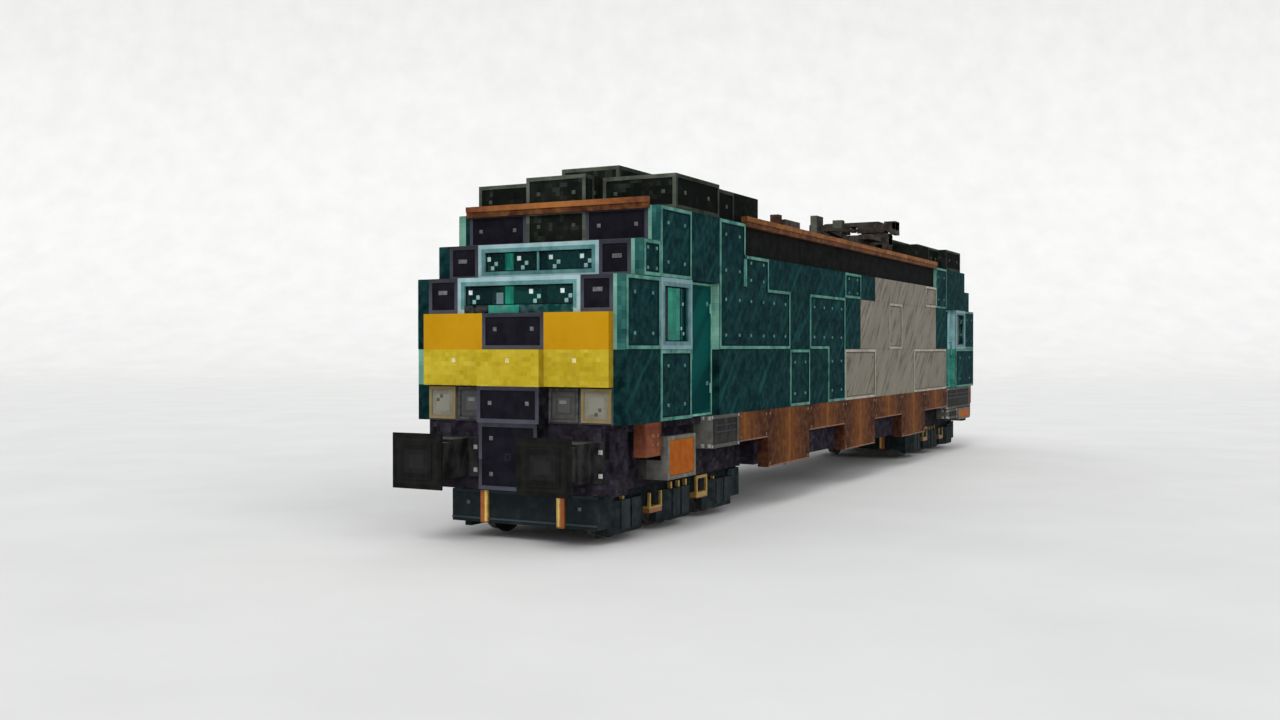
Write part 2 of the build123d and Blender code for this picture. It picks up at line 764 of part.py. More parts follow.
# Columns: name of the part, distance of its lamps from the centre line
lamp_table = [
    ("headlamps", nose_block + 1.5 * lamp_bay),
    ("marker_lamps", nose_block + 0.5 * lamp_bay),
]
for lamp_name, lamp_x in lamp_table:
    with BuildPart() as lamp:
        for side in (-1, 1):
            with BuildSketch(facing_front(station(0) + lamp_row_back)):
                with Locations((side * lamp_x, level(0.5))):
                    Rectangle(lamp_bay - 2 * lamp_edge, row - 2 * lamp_edge)
            extrude(amount=lamp_proud)
            with BuildSketch(facing_front(station(0) + lamp_row_back - lamp_proud)):
                with Locations((side * lamp_x, level(0.5))):
                    Rectangle(lamp_bay - 2 * (lamp_edge + lamp_bezel), row - 2 * (lamp_edge + lamp_bezel))
            extrude(amount=-lens_depth, mode=Mode.SUBTRACT)
        mirror(about=Plane.XZ)
    lamp.part.label = lamp_name
    export_step(lamp.part, f"parts/{lamp_name}.step")


# Raised frames round the body panels
def frame_rings(outlines, side):
    """Flat rings on one side wall that follow outlines given in bays and rows."""
    with BuildSketch(Plane.YZ.offset(side * half_width)) as rings:
        for outline in outlines:
            corners = [(station(along), level(up)) for along, up in outline]
            with BuildLine():
                Polyline(*inset(corners, frame_margin), close=True)
            make_face()
            with BuildLine():
                Polyline(*inset(corners, frame_margin + panel_bar), close=True)
            make_face(mode=Mode.SUBTRACT)
    return rings.sketch


def square_corners(table):
    """Outlines of upright rectangles from a table of bays and rows."""
    return [[(first, low), (last, low), (last, high), (first, high)] for first, last, low, high in table]


with BuildPart() as frames_teal:
    for side in (-1, 1):
        rings = frame_rings(square_corners(teal_frames) + [stair_panel, corner_panel], side)
        add(extrude(rings, amount=side * panel_relief, mode=Mode.PRIVATE))
frames_teal.part.label = "frames_teal"
export_step(frames_teal.part, "parts/frames_teal.step")


with BuildPart() as frames_beige:
    for side in (-1, 1):
        rings = frame_rings(square_corners(beige_frames), side)
        add(extrude(rings, amount=side * panel_relief, mode=Mode.PRIVATE))
frames_beige.part.label = "frames_beige"
export_step(frames_beige.part, "parts/frames_beige.step")


# Cab doors, hinged at the rear post of the doorway and opening inwards
for end in (-1, 1):
    for side in (-1, 1):
        door_name = ("front" if end < 0 else "rear") + ("_door_left" if side < 0 else "_door_right")
        y_hinge = -end * hinge_y
        y_free = -end * (station(door_front) + door_post + leaf_gap)
        y_near = -end * (hinge_y - leaf_gap)
        leaf_length = abs(y_near - y_free)
        leaf_height = door_rows * row - 2 * leaf_gap
        pin_x = side * (inner_half_width - hinge_inset)
        with BuildPart() as door:
            with BuildSketch(Plane.YZ.offset(side * inner_half_width)):
                with Locations(((y_free + y_near) / 2, level(door_rows / 2))):
                    Rectangle(leaf_length, leaf_height)
            extrude(amount=side * leaf)
            with BuildSketch(Plane.YZ.offset(side * (inner_half_width + leaf))):
                with Locations(((y_free + y_near) / 2, level(door_rows / 2))):
                    Rectangle(leaf_length - 2 * leaf_bar, leaf_height - 2 * leaf_bar)
            extrude(amount=-side * leaf_relief, mode=Mode.SUBTRACT)
            with BuildSketch(Plane.XY.offset(barrel_low)):
                with Locations((pin_x, y_hinge)):
                    Circle(hinge_barrel_radius)
                with Locations(((pin_x + side * inner_half_width) / 2, y_near + end * hinge_barrel_radius)):
                    Rectangle(hinge_inset, 2 * hinge_barrel_radius)
                with Locations((pin_x, y_hinge)):
                    Circle(hinge_pin_radius + hinge_fit, mode=Mode.SUBTRACT)
            extrude(amount=hinge_barrel)
        door.part.label = door_name
        export_step(door.part, f"parts/{door_name}.step")


# Bogies: side beams, end plates with their cheeks, axle boxes, cross beams and the bolster round the pivot
for end, bogie_name in ((-1, "front_bogie"), (1, "rear_bogie")):
    centre_y = -end * bogie_y
    with BuildPart() as bogie:
        for side in (-1, 1):
            with BuildSketch(Plane.YZ.offset(side * beam_inner)):
                with Locations((centre_y, (frame_low + frame_high) / 2)):
                    Rectangle(2 * pilot_reach, frame_high - frame_low)
            extrude(amount=side * (beam_outer - beam_inner))
            with BuildSketch(Plane.XY.offset(box_low)):
                for along in axle_offsets:
                    with BuildLine():
                        Polyline(
                            (side * beam_inner, centre_y + along - box_length / 2),
                            (side * beam_outer, centre_y + along - box_length / 2),
                            (side * box_outer, centre_y + along - box_face / 2),
                            (side * box_outer, centre_y + along + box_face / 2),
                            (side * beam_outer, centre_y + along + box_length / 2),
                            (side * beam_inner, centre_y + along + box_length / 2),
                            close=True,
                        )
                    make_face()
            extrude(amount=box_high - box_low)
            with BuildSketch(Plane.YZ.offset(side * box_outer)):
                for along in axle_offsets:
                    with Locations((centre_y + along, (box_low + box_high + box_pad_edge) / 2)):
                        with GridLocations(box_pad + box_pad_gap, 0, 2, 1):
                            Rectangle(box_pad, box_high - box_low - box_pad_edge)
            extrude(amount=side * box_pad_proud)
        for way in (-1, 1):
            with BuildSketch(Plane.XY.offset(pilot_low)):
                with Locations((0, centre_y + way * (pilot_reach - pilot_plate / 2))):
                    Rectangle(2 * pilot_half_width, pilot_plate)
                for side in (-1, 1):
                    with Locations(
                        (
                            side * (pilot_half_width - pilot_cheek / 2),
                            centre_y + way * (pilot_reach - pilot_return / 2),
                        )
                    ):
                        Rectangle(pilot_cheek, pilot_return)
            extrude(amount=pilot_high - pilot_low)
            with BuildSketch(Plane.XY.offset(pilot_low + pilot_ridge_height)):
                with Locations((0, centre_y + way * (pilot_reach + pilot_ridge_proud / 2))):
                    Rectangle(2 * pilot_half_width, pilot_ridge_proud)
                    with GridLocations(2 * brass_x, 0, 2, 1):
                        Rectangle(brass_width, pilot_ridge_proud, mode=Mode.SUBTRACT)
            extrude(amount=pilot_ridge)
            with BuildSketch(Plane.XY.offset(cross_beam_low)):
                with Locations((0, centre_y + way * axle_pitch / 2)):
                    Rectangle(2 * beam_inner, cross_beam)
            extrude(amount=frame_high - cross_beam_low)
        with BuildSketch(Plane.XY.offset(frame_high)):
            with Locations((0, centre_y)):
                Rectangle(2 * bolster_half_width, axle_pitch + cross_beam)
        extrude(amount=bolster_top - frame_high)
        with BuildSketch(Plane.XY.offset(bolster_top)):
            with Locations((0, centre_y)):
                Circle(pivot_radius + pivot_fit)
        extrude(amount=-pivot_bore, mode=Mode.SUBTRACT)
        # Bores for the journals inside the axle boxes
        for side in (-1, 1):
            with BuildSketch(Plane.YZ.offset(side * beam_inner)):
                for along in axle_offsets:
                    with Locations((centre_y + along, axle_height)):
                        Circle(journal_radius + journal_fit)
            extrude(amount=side * (journal_end - beam_inner + journal_end_gap), mode=Mode.SUBTRACT)
    bogie.part.label = bogie_name
    export_step(bogie.part, f"parts/{bogie_name}.step")


# Brass work of each bogie: bars on the end plates, U-shaped hangers between the boxes and stubs on the boxes
brass_proud = 32.0
hanger_gap = 25.0
hanger_width = axle_pitch - box_length - 2 * hanger_gap
hanger_bar = 40.0
hanger_plate = 30.0              # thickness of a hanger's uprights
hanger_foot = 80.0
hanger_open_top = 533.0          # top of the outer hangers, open above
stub_width = 45.0
stub_low = 40.0
stub_tall = 86.0
# Columns: place behind the pivot, height above the axle boxes
stubs = [(-1527.0, stub_low), (-208.0, stub_tall), (20.0, stub_tall), (239.0, stub_tall), (1138.0, stub_low)]
for end, brass_name in ((-1, "front_bogie_brass"), (1, "rear_bogie_brass")):
    centre_y = -end * bogie_y
    with BuildPart() as brass:
        for side in (-1, 1):
            for way in (-1, 1):
                with BuildSketch(Plane.XY.offset(pilot_low)):
                    with Locations((side * brass_x, centre_y + way * (pilot_reach + brass_proud / 2))):
                        Rectangle(brass_width, brass_proud)
                extrude(amount=pilot_high - pilot_low)
            # Columns: way from the pivot, bottom, top, top of its opening; the one nearer the nose is open
            hangers = [
                (end, 275.0, hanger_open_top, hanger_open_top),
                (-end, 315.0, frame_high, frame_high - hanger_bar),
            ]
            for way, low, top, bar_top in hangers:
                hanger_y = centre_y + way * axle_pitch / 2
                with BuildSketch(Plane.YZ.offset(side * box_outer)):
                    with Locations((hanger_y, (low + top) / 2)):
                        Rectangle(hanger_width, top - low)
                    gap_low = low + hanger_foot
                    with Locations((hanger_y, (gap_low + bar_top) / 2)):
                        Rectangle(hanger_width - 2 * hanger_bar, bar_top - gap_low, mode=Mode.SUBTRACT)
                extrude(amount=-side * hanger_plate)
                with BuildSketch(Plane.YZ.offset(side * box_outer)):
                    with Locations((hanger_y, low + hanger_foot / 2)):
                        Rectangle(hanger_width, hanger_foot)
                extrude(amount=-side * (box_outer - beam_outer))
            for along, height in stubs:
                with BuildSketch(Plane.XY.offset(box_high)):
                    with Locations((side * (box_outer - stub_width), centre_y - end * along)):
                        Rectangle(stub_width, stub_width)
                extrude(amount=height)
    brass.part.label = brass_name
    export_step(brass.part, f"parts/{brass_name}.step")


# Wheelsets: an axle with its two wheels, turned as one piece
for end, end_name in ((-1, "front"), (1, "rear")):
    for n, along in enumerate(axle_offsets):
        set_name = f"{end_name}_wheelset_{n + 1}"
        with BuildPart() as wheelset:
            with BuildSketch(Plane.XZ):
                with BuildLine():
                    Polyline(
                        (0, 0),
                        (0, axle_radius),
                        (wheel_back, axle_radius),
                        (wheel_back, tread_radius + flange),
                        (wheel_back + flange_width, tread_radius),
                        (wheel_back + rim_width, tread_radius),
                        (wheel_back + rim_width, journal_radius),
                        (journal_end, journal_radius),
                        (journal_end, 0),
                        close=True,
                    )
                make_face()
            revolve(axis=Axis.X)
            mirror(about=Plane.YZ)
        placed = Pos(0, -end * (bogie_y + along), axle_height) * wheelset.part
        placed.label = set_name
        export_step(placed, f"parts/{set_name}.step")


# Lowered current collector on the roof: a base frame on four insulators, two arms that fold flat, and a head
collector_station = 14.9
arm = 1760.0
arm_rise = 123.0                 # the knee above the base pivot when lowered
base_half_width = 420.0
base_beam = 100.0
insulator_width = 140.0
insulator_height = 130.0
pivot_rise = 64.0                # pivot above the base frame
roof_top = level(6) + clerestory_height
base_top = roof_top + insulator_height + base_beam
pivot_z = base_top + pivot_rise
pivot_y = station(collector_station)
arm_reach = (arm ** 2 - arm_rise ** 2) ** 0.5
knee_y = pivot_y - arm_reach
knee_z = pivot_z + arm_rise
head_z = knee_z + arm_rise
arm_half = 42.0
upper_arm_half = 30.0
arm_pin_radius = 20.0
arm_fit = 0.1
fork_gap = 60.0                  # centre line to the inner face of an ear
fork_clear = 5.0
ear = 30.0
eye_half = 48.0                  # half height of an eye round a pin
head_half_width = 950.0
strip_half_width = 600.0
head_length = 300.0
head_bar = 60.0
head_plate = 80.0
head_rise = 70.0                 # underside of the contact strips above the head's pin
horn_drop = 190.0
horn_bar = 90.0
spring_x = 250.0                 # raising springs in cans beside the arms
spring_radius = 75.0
spring_height = 140.0            # middle of a can above the base frame
spring_saddle = 90.0
rest_x = 730.0                   # posts under the lowered head's ends
rest_width = 140.0
rest_height = 410.0


def arm_corners(start, end, half):
    """Four corners of a bar drawn from one point to another, with its ends cut square past them."""
    run = ((end[0] - start[0]) ** 2 + (end[1] - start[1]) ** 2) ** 0.5
    along = ((end[0] - start[0]) / run * half, (end[1] - start[1]) / run * half)
    across = (-along[1], along[0])
    return [
        (start[0] - along[0] - across[0], start[1] - along[1] - across[1]),
        (end[0] + along[0] - across[0], end[1] + along[1] - across[1]),
        (end[0] + along[0] + across[0], end[1] + along[1] + across[1]),
        (start[0] - along[0] + across[0], start[1] - along[1] + across[1]),
    ]


with BuildPart() as collector_base:
    with BuildSketch(Plane.XY.offset(roof_top)):
        with Locations((0, pivot_y - arm / 2)):
            with GridLocations(2 * base_half_width, arm, 2, 2):
                RegularPolygon(insulator_width / 2, 8)
    extrude(amount=insulator_height)
    with BuildSketch(Plane.XY.offset(roof_top + insulator_height)):
        with Locations((0, pivot_y - arm / 2)):
            Rectangle(2 * (base_half_width + base_beam), arm + 2 * base_beam)
            Rectangle(2 * base_half_width - base_beam, arm - base_beam, mode=Mode.SUBTRACT)
    extrude(amount=base_beam)
    for side in (-1, 1):
        with BuildSketch(Plane.YZ.offset(side * fork_gap)):
            with Locations((pivot_y, (base_top + pivot_z + eye_half) / 2)):
                Rectangle(2 * eye_half, pivot_z + eye_half - base_top)
        extrude(amount=side * ear)
    with BuildSketch(Plane.YZ):
        with Locations((pivot_y, pivot_z)):
            Circle(arm_pin_radius)
    extrude(amount=fork_gap, both=True)
    for side in (-1, 1):
        with BuildSketch(facing_front(pivot_y)):
            with Locations((side * spring_x, base_top + spring_height)):
                RegularPolygon(spring_radius, 12)
        extrude(amount=head_length / 2, both=True)
        with BuildSketch(Plane.XY.offset(base_top)):
            with Locations((side * spring_x, pivot_y)):
                Rectangle(spring_saddle, spring_saddle)
        extrude(amount=spring_height)
        with BuildSketch(Plane.XY.offset(roof_top)):
            with Locations((side * rest_x, pivot_y)):
                Rectangle(rest_width, head_length)
        extrude(amount=rest_height)
collector_base.part.label = "collector_base"
export_step(collector_base.part, "parts/collector_base.step")


with BuildPart() as collector_lower_arm:
    with BuildSketch(Plane.YZ):
        with BuildLine():
            Polyline(*arm_corners((pivot_y, pivot_z), (knee_y, knee_z), arm_half), close=True)
        make_face()
        with Locations((pivot_y, pivot_z)):
            Circle(arm_pin_radius + arm_fit, mode=Mode.SUBTRACT)
    extrude(amount=fork_gap - fork_clear, both=True)
    with BuildSketch(Plane.YZ):
        with Locations((knee_y, knee_z)):
            Circle(arm_pin_radius)
    extrude(amount=fork_gap + ear, both=True)
collector_lower_arm.part.label = "collector_lower_arm"
export_step(collector_lower_arm.part, "parts/collector_lower_arm.step")


with BuildPart() as collector_upper_arm:
    for side in (-1, 1):
        with BuildSketch(Plane.YZ.offset(side * fork_gap)):
            with BuildLine():
                Polyline(*arm_corners((knee_y, knee_z), (pivot_y, head_z), upper_arm_half), close=True)
            make_face()
            with Locations((knee_y, knee_z)):
                Circle(arm_pin_radius + arm_fit, mode=Mode.SUBTRACT)
        extrude(amount=side * ear)
    with BuildSketch(Plane.YZ):
        with Locations((pivot_y, head_z)):
            Circle(arm_pin_radius)
    extrude(amount=fork_gap, both=True)
collector_upper_arm.part.label = "collector_upper_arm"
export_step(collector_upper_arm.part, "parts/collector_upper_arm.step")


with BuildPart() as collector_head:
    strip_top = head_z + head_rise + head_plate
    with BuildSketch(Plane.YZ):
        with Locations((pivot_y, head_z + (head_rise - eye_half) / 2)):
            Rectangle(2 * upper_arm_half, head_rise + eye_half)
        with Locations((pivot_y, head_z)):
            Circle(arm_pin_radius + arm_fit, mode=Mode.SUBTRACT)
    extrude(amount=fork_gap - fork_clear, both=True)
    with BuildSketch(Plane.XY.offset(strip_top - head_plate)):
        with Locations((0, pivot_y)):
            Rectangle(2 * strip_half_width, head_length)
            Rectangle(2 * (strip_half_width - head_bar), head_length - 2 * head_bar, mode=Mode.SUBTRACT)
            Rectangle(2 * head_bar, head_length)
    extrude(amount=head_plate)
    horn_top = strip_top - horn_drop
    for side in (-1, 1):
        with BuildSketch(facing_front(pivot_y)):
            with BuildLine():
                Polyline(
                    (side * strip_half_width, strip_top),
                    (side * head_half_width, horn_top),
                    (side * head_half_width, horn_top - horn_bar),
                    (side * (head_half_width - horn_bar), horn_top - horn_bar),
                    (side * strip_half_width, strip_top - head_plate),
                    close=True,
                )
            make_face()
        extrude(amount=head_length / 2, both=True)
collector_head.part.label = "collector_head"
export_step(collector_head.part, "parts/collector_head.step")


# Boxes on the roof beside and in front of the collector
# Columns: inner x, outer x, first bay, last bay, height above the raised deck
roof_box_table = [
    (-90.0, 70.0, 9.7, 9.9, 450.0),
    (0.0, 140.0, 9.9, 10.75, 374.0),
    (-680.0, -540.0, 13.97, 14.43, 814.0),
    (-320.0, -120.0, 14.39, 14.61, 734.0),
]
with BuildPart() as roof_boxes:
    for left, right, first, last, height in roof_box_table:
        with BuildSketch(Plane.XY.offset(roof_top)):
            with Locations(((left + right) / 2, station((first + last) / 2))):
                Rectangle(right - left, (last - first) * bay)
        extrude(amount=height)
roof_boxes.part.label = "roof_boxes"
export_step(roof_boxes.part, "parts/roof_boxes.step")
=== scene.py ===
import json
from itertools import chain, product
from math import cos, radians, sin

import bmesh
import bpy
from mathutils import Matrix, Vector


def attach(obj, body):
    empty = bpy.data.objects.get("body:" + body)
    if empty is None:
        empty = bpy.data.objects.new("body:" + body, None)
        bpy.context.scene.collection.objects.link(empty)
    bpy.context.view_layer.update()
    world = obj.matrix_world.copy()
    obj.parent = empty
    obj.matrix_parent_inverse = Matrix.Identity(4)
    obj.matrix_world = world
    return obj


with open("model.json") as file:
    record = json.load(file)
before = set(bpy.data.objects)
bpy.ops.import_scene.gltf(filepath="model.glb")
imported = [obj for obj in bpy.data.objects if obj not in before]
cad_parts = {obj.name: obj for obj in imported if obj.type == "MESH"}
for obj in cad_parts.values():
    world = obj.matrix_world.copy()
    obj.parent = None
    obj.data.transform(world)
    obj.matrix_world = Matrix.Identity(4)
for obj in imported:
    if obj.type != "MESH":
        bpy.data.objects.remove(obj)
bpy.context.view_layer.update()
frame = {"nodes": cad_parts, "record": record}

nodes = frame["nodes"]

# The same grid as the part, in metres
BAY = 0.88
ROW = 0.44
SOLE = 1.466
HALF = 1.485
INNER = 1.32
NOSE = 8.91
NOSE_BLOCK = 0.44
NOSE_PROUD = 0.11
STEP = 0.44
LAMP_ROW_BACK = 0.11
SCREEN_HALF = 0.88
SCREEN_BAR = 0.1
PANE = SCREEN_HALF - SCREEN_BAR
PANE_UP = ROW / 2 - SCREEN_BAR
SIDE_PANE = BAY / 2 - SCREEN_BAR
BAR = 0.05
RELIEF = 0.012
BEAM_BACK = 0.121
PILOT_BACK = 0.229
BUFFER_X = 0.88
CREAM_LAMP_X = 1.1
GREY_LAMP_X = 0.66
LAMP_Z = SOLE + ROW / 2
BOARD_FACE = HALF + 0.035
ROOF_TOP = SOLE + 6 * ROW + 0.22
# Places along the body, in bays behind the nearer nose
PANEL_START = 0.125
WINDOW = 1.625
DOOR_FRONT = 2.125
DOOR_REAR = 3.125
CAB_END = 4.125
# Size of the small squares in which the paint varies
CELL = BAY / 16
# Half the width of the seams between panels
SEAM = 0.006
# Strength of the painted glow of the cabs' inside, which stands for light inside the cabs
CAB_LIGHT = 0.5
ENDS = (-1, 1)
SIDES = (-1, 1)


def station(bays):
    """Y of a place counted in bays behind the front nose."""
    return bays * BAY - NOSE


def back(bays):
    """Distance from the middle of a place counted in bays behind the nearer nose."""
    return NOSE - bays * BAY


def level(rows):
    """Z of a place counted in panel rows above the sole."""
    return SOLE + rows * ROW


# Materials

def rgb(r, g, b):
    """Linear colour from the usual 0 to 255 values."""
    out = []
    for c in (r, g, b):
        c = c / 255
        out.append(c / 12.92 if c <= 0.04045 else ((c + 0.055) / 1.055) ** 2.4)
    return (*out, 1.0)


def shade(colour, factor):
    """The same colour darker or lighter, as 0 to 255 values."""
    return tuple(min(255, c * factor) for c in colour)


class Value:
    """What a node puts out. Each sign used on it adds a node; a comparison gives 0 or 1."""

    def __init__(self, paint, socket):
        self.paint = paint
        self.socket = socket

    def __add__(self, other):
        return self.paint.math("ADD", self, other)

    def __sub__(self, other):
        return self.paint.math("SUBTRACT", self, other)

    def __rsub__(self, other):
        return self.paint.math("SUBTRACT", other, self)

    def __mul__(self, other):
        return self.paint.math("MULTIPLY", self, other)

    def __or__(self, other):
        return self.paint.math("MAXIMUM", self, other)

    def __gt__(self, other):
        return self.paint.math("GREATER_THAN", self, other)

    def __lt__(self, other):
        return self.paint.math("GREATER_THAN", other, self)

    def __abs__(self):
        return self.paint.math("ABSOLUTE", self)


finishes = {}


class Paint:
    """A material's node tree, with short ways to add the nodes that the finishes below share."""

    def __init__(self, name, rough=0.6, metal=0.0, spec=0.01):
        self.mat = bpy.data.materials.new(name)
        finishes[name] = self.mat
        self.mat.use_nodes = True
        self.tree = self.mat.node_tree
        self.shader = self.tree.nodes["Principled BSDF"]
        self.put("Roughness", rough)
        self.put("Metallic", metal)
        self.put("Specular IOR Level", spec)
        self.point = self.node("TexCoord", "Object")
        self.x, self.y, self.z = self.split(self.point)
        self.ax = abs(self.x)
        self.ay = abs(self.y)
        normal = self.split(self.node("NewGeometry", "True Normal"))
        self.faces_side, self.faces_end, self.faces_up = [abs(part) > 0.7 for part in normal]

    def set(self, socket, value):
        if isinstance(value, Value):
            self.tree.links.new(value.socket, socket)
        else:
            socket.default_value = rgb(*value) if socket.type == "RGBA" else value

    def put(self, name, value):
        """A value on the shader."""
        self.set(self.shader.inputs[name], value)

    def node(self, kind, output=0, inputs={}, **settings):
        """Adds a node, fills its inputs and returns one of its outputs."""
        node = self.tree.nodes.new("ShaderNode" + kind)
        for name, value in settings.items():
            setattr(node, name, value)
        for name, value in inputs.items():
            self.set(node.inputs[name], value)
        return Value(self, node.outputs[output])

    def split(self, vector):
        first = self.node("SeparateXYZ", 0, {0: vector})
        return [Value(self, socket) for socket in first.socket.node.outputs]

    def math(self, operation, *values):
        return self.node("Math", 0, dict(enumerate(values)), operation=operation)

    def least(self, a, b):
        return self.math("MINIMUM", a, b)

    def between(self, value, low, high):
        return (value > low) * (value < high)

    def near(self, value, width, place, *others):
        """1 where a value is within width of one of the places."""
        mask = self.math("COMPARE", value, place, width)
        return mask | self.near(value, width, *others) if others else mask

    def snap(self, cell=CELL):
        """The shading point moved to the corner of its small square."""
        return self.node("VectorMath", 0, {0: self.point, 1: (cell, cell, cell)}, operation="SNAP")

    def noise(self, scale, detail=3.0, rough=0.55, point=None, stretch=(1, 1, 1)):
        place = self.node("Mapping", 0, {"Vector": point or self.point, "Scale": stretch})
        values = {"Vector": place, "Scale": scale, "Detail": detail, "Roughness": rough}
        return self.node("TexNoise", "Fac", values)

    def ramp(self, value, low, high, start=0.0, end=1.0):
        """Even change from start to end as a value goes from low to high."""
        values = {"Value": value, "From Min": low, "From Max": high, "To Min": start, "To Max": end}
        return self.node("MapRange", 0, values)

    def mix(self, factor, a, b):
        return self.node("Mix", 2, {0: factor, 6: a, 7: b}, data_type="RGBA")

    def patches(self, dark, light, scale=6.0, cell=CELL, stretch=(1, 1, 1)):
        """Two close tones that change from one small square to the next."""
        tone = self.noise(scale, 2.0, 0.6, self.snap(cell), stretch)
        return self.mix(self.ramp(tone, 0.36, 0.64), dark, light)

    def edge(self, value, period, start):
        """Distance from a value to the nearest line of a row of lines."""
        return self.math("PINGPONG", value - start, period / 2)

    def bay_line(self):
        return self.edge(self.y, BAY, station(PANEL_START))

    def panel_line(self):
        """Distance to the nearest seam between the panels of a side."""
        return self.least(self.bay_line(), self.edge(self.z, 2 * ROW, SOLE))

    def box_distance(self, u, v, cu, cv, hu, hv):
        """Distance to a rectangle's outline, below 0 inside it."""
        return (abs(u - cu) - hu) | (abs(v - cv) - hv)

    def strokes(self, width, length, detail=2.0):
        """Brush strokes from 0 to 1 that rise at 45 degrees, seen from either side of the body."""
        u, w, z = self.split(self.snap(CELL / 2))
        along = w * self.math("SIGN", self.x) + u
        across = (along - z) * (0.707 / width)
        lengthwise = (along + z) * (0.707 / length)
        return self.noise(1.0, detail, 0.5, self.node("CombineXYZ", 0, {0: across, 1: lengthwise}))

    def coat(self, tone, mask, amount=1):
        """Another colour over the one so far, where a mask is 1."""
        self.colour = self.mix(mask if amount == 1 else mask * amount, self.colour, tone)

    def worn(self, wear, dirt, amount, dirt_top=0.0):
        """Pale wear on the edges and a film of dirt, which is thicker below dirt_top."""
        pointed = self.ramp(self.node("NewGeometry", "Pointiness"), 0.505, 0.55)
        self.coat(wear, pointed * self.ramp(self.noise(9.0), 0.4, 0.7), amount)
        grime = self.ramp(self.noise(1.7, 5.0), 0.5, 0.9)
        if dirt_top:
            grime = grime | self.ramp(self.z + self.noise(3.0) * 0.35, dirt_top + 0.45, dirt_top)
        self.coat(dirt, grime, amount)

    def bump(self, height, depth):
        self.put("Normal", self.node("Bump", 0, {"Height": height, "Distance": depth, "Strength": 0.6}))

    def glow(self, colour, strength):
        """A little light of its own, for the lit inside of the cabs."""
        self.put("Emission Color", colour)
        self.put("Emission Strength", strength)

    def finish(self, *rough):
        """The colour so far and a patchy roughness put on the shader."""
        self.put("Base Color", self.colour)
        if rough:
            self.put("Roughness", self.ramp(self.noise(14.0, 4.0), 0.0, 1.0, *rough))

    def done(self, wear, dirt, amount, grain, depth, rough, dirt_top=0.0):
        """Wear, dirt, a fine grain given by its scale or its height, and roughness."""
        self.worn(wear, dirt, amount, dirt_top)
        self.bump(grain if isinstance(grain, Value) else self.noise(grain), depth)
        self.finish(*rough)


def paint(**gloss):
    """Makes the material that is named after the function below it and painted by it."""
    def make(work):
        work(Paint(work.__name__, **gloss))
    return make


def rear_pale(p):
    """Colours of the rear doorways beside the windows: pale blue above, mint below."""
    upper = p.patches((120, 158, 164), (150, 188, 190), 4.0)
    lower = p.patches((46, 112, 104), (74, 150, 134), 4.0)
    return p.mix(p.z > level(2), lower, upper)


@paint()
def body_green(p):
    """Streaked coach paint with a seam at each panel."""
    tone = p.strokes(0.20, 1.6) * 0.62 + p.strokes(0.11, 1.0, 1.0) * 0.38
    p.colour = p.mix(p.ramp(tone, 0.38, 0.49), (13, 46, 50), (8, 34, 39))
    p.coat((21, 66, 67), p.ramp(tone, 0.52, 0.67))
    seam = p.panel_line() < 0.005
    p.coat((4, 17, 19.5), seam, 0.4)
    # Narrow faces of the stepped ends: a pale strip inside, aqua squares outside
    pale = p.patches((96, 142, 128), (124, 172, 154), 3.0)
    aqua = p.patches((26, 70, 70), (58, 112, 106), 5.0)
    high = p.faces_end * (p.z > level(2)) * (p.ay < NOSE + 0.1)
    photo_side = p.x > 0.0
    mint = p.mix((p.ax < INNER + 0.05) | (1.0 - photo_side), aqua, pale)
    rows = (p.z > level(5)) | p.between(p.z, level(1), level(2))
    plain_side = (1.0 - photo_side) * p.faces_end * rows * (p.ax > HALF - 0.1)
    p.coat(mint, high * photo_side | plain_side)
    # Inside of the cab, and the far post of each doorway
    p.coat(p.patches((12, 92, 84), (36, 140, 118), 5.0), (p.ax < INNER + 0.001) * (p.z > SOLE))
    pale_post = p.patches((96, 150, 136), (140, 190, 170), 4.0)
    post = p.faces_end * p.near(p.ay, 0.02, back(DOOR_REAR)) * (p.z > level(2))
    p.coat(pale_post, post * (p.ax < HALF - 0.002))
    beside_band = p.faces_end * p.near(p.ay, 0.02, back(CAB_END)) * (p.z > level(5))
    p.coat(pale_post, beside_band * (p.ax > INNER + 0.05))
    # Thickness of the wall behind each side window: painted bright as if lit, with a dark outer part, and
    # glowing a little as painted light; on the left side it is painted pale blue, as painted daylight showing
    # through
    jamb = p.faces_end * p.near(p.ay, 0.03, back(WINDOW) - SIDE_PANE)
    jamb = jamb * p.between(p.ax, INNER - 0.01, HALF - 0.02) * p.between(p.z, level(2), level(4))
    tone = p.mix(p.ax > 1.372, p.patches((30, 150, 128), (84, 200, 168), 3.0), (10, 58, 60))
    tone = p.mix(p.near(p.ax, 0.006, 1.4), tone, (70, 130, 126))
    tone = p.mix(photo_side, (176, 205, 216), tone)
    p.coat(tone, jamb)
    p.glow(tone, jamb * 0.4)
    rear_jamb = p.faces_end * p.near(p.y, 0.02, back(DOOR_FRONT) - 0.03) * (p.ax > INNER + 0.002)
    p.coat(rear_pale(p), rear_jamb)
    p.done((70, 120, 112), (38, 44, 40), 0.14, p.noise(40.0) * 0.25 - seam, 0.003, (0.6, 0.8))


@paint()
def door_green(p):
    """Door leaves with broad slanting bands; inside the cab they are painted brighter and glow a little, as
    painted light.
    """
    p.colour = p.mix(p.ramp(p.strokes(0.3, 3.0, 1.0), 0.4, 0.6), (8, 52, 53), (12, 74, 70))
    inside = p.ax < INNER + 0.002
    # Painted light: the inside of each leaf is brighter and glows a little
    p.coat((12, 82, 74), inside)
    p.glow(p.colour, inside * CAB_LIGHT)
    p.coat(rear_pale(p), (p.y > back(DOOR_FRONT) - 0.24) * (p.ax > INNER + 0.04))
    p.done((90, 150, 130), (36, 44, 40), 0.14, 45, 0.001, (0.55, 0.75))


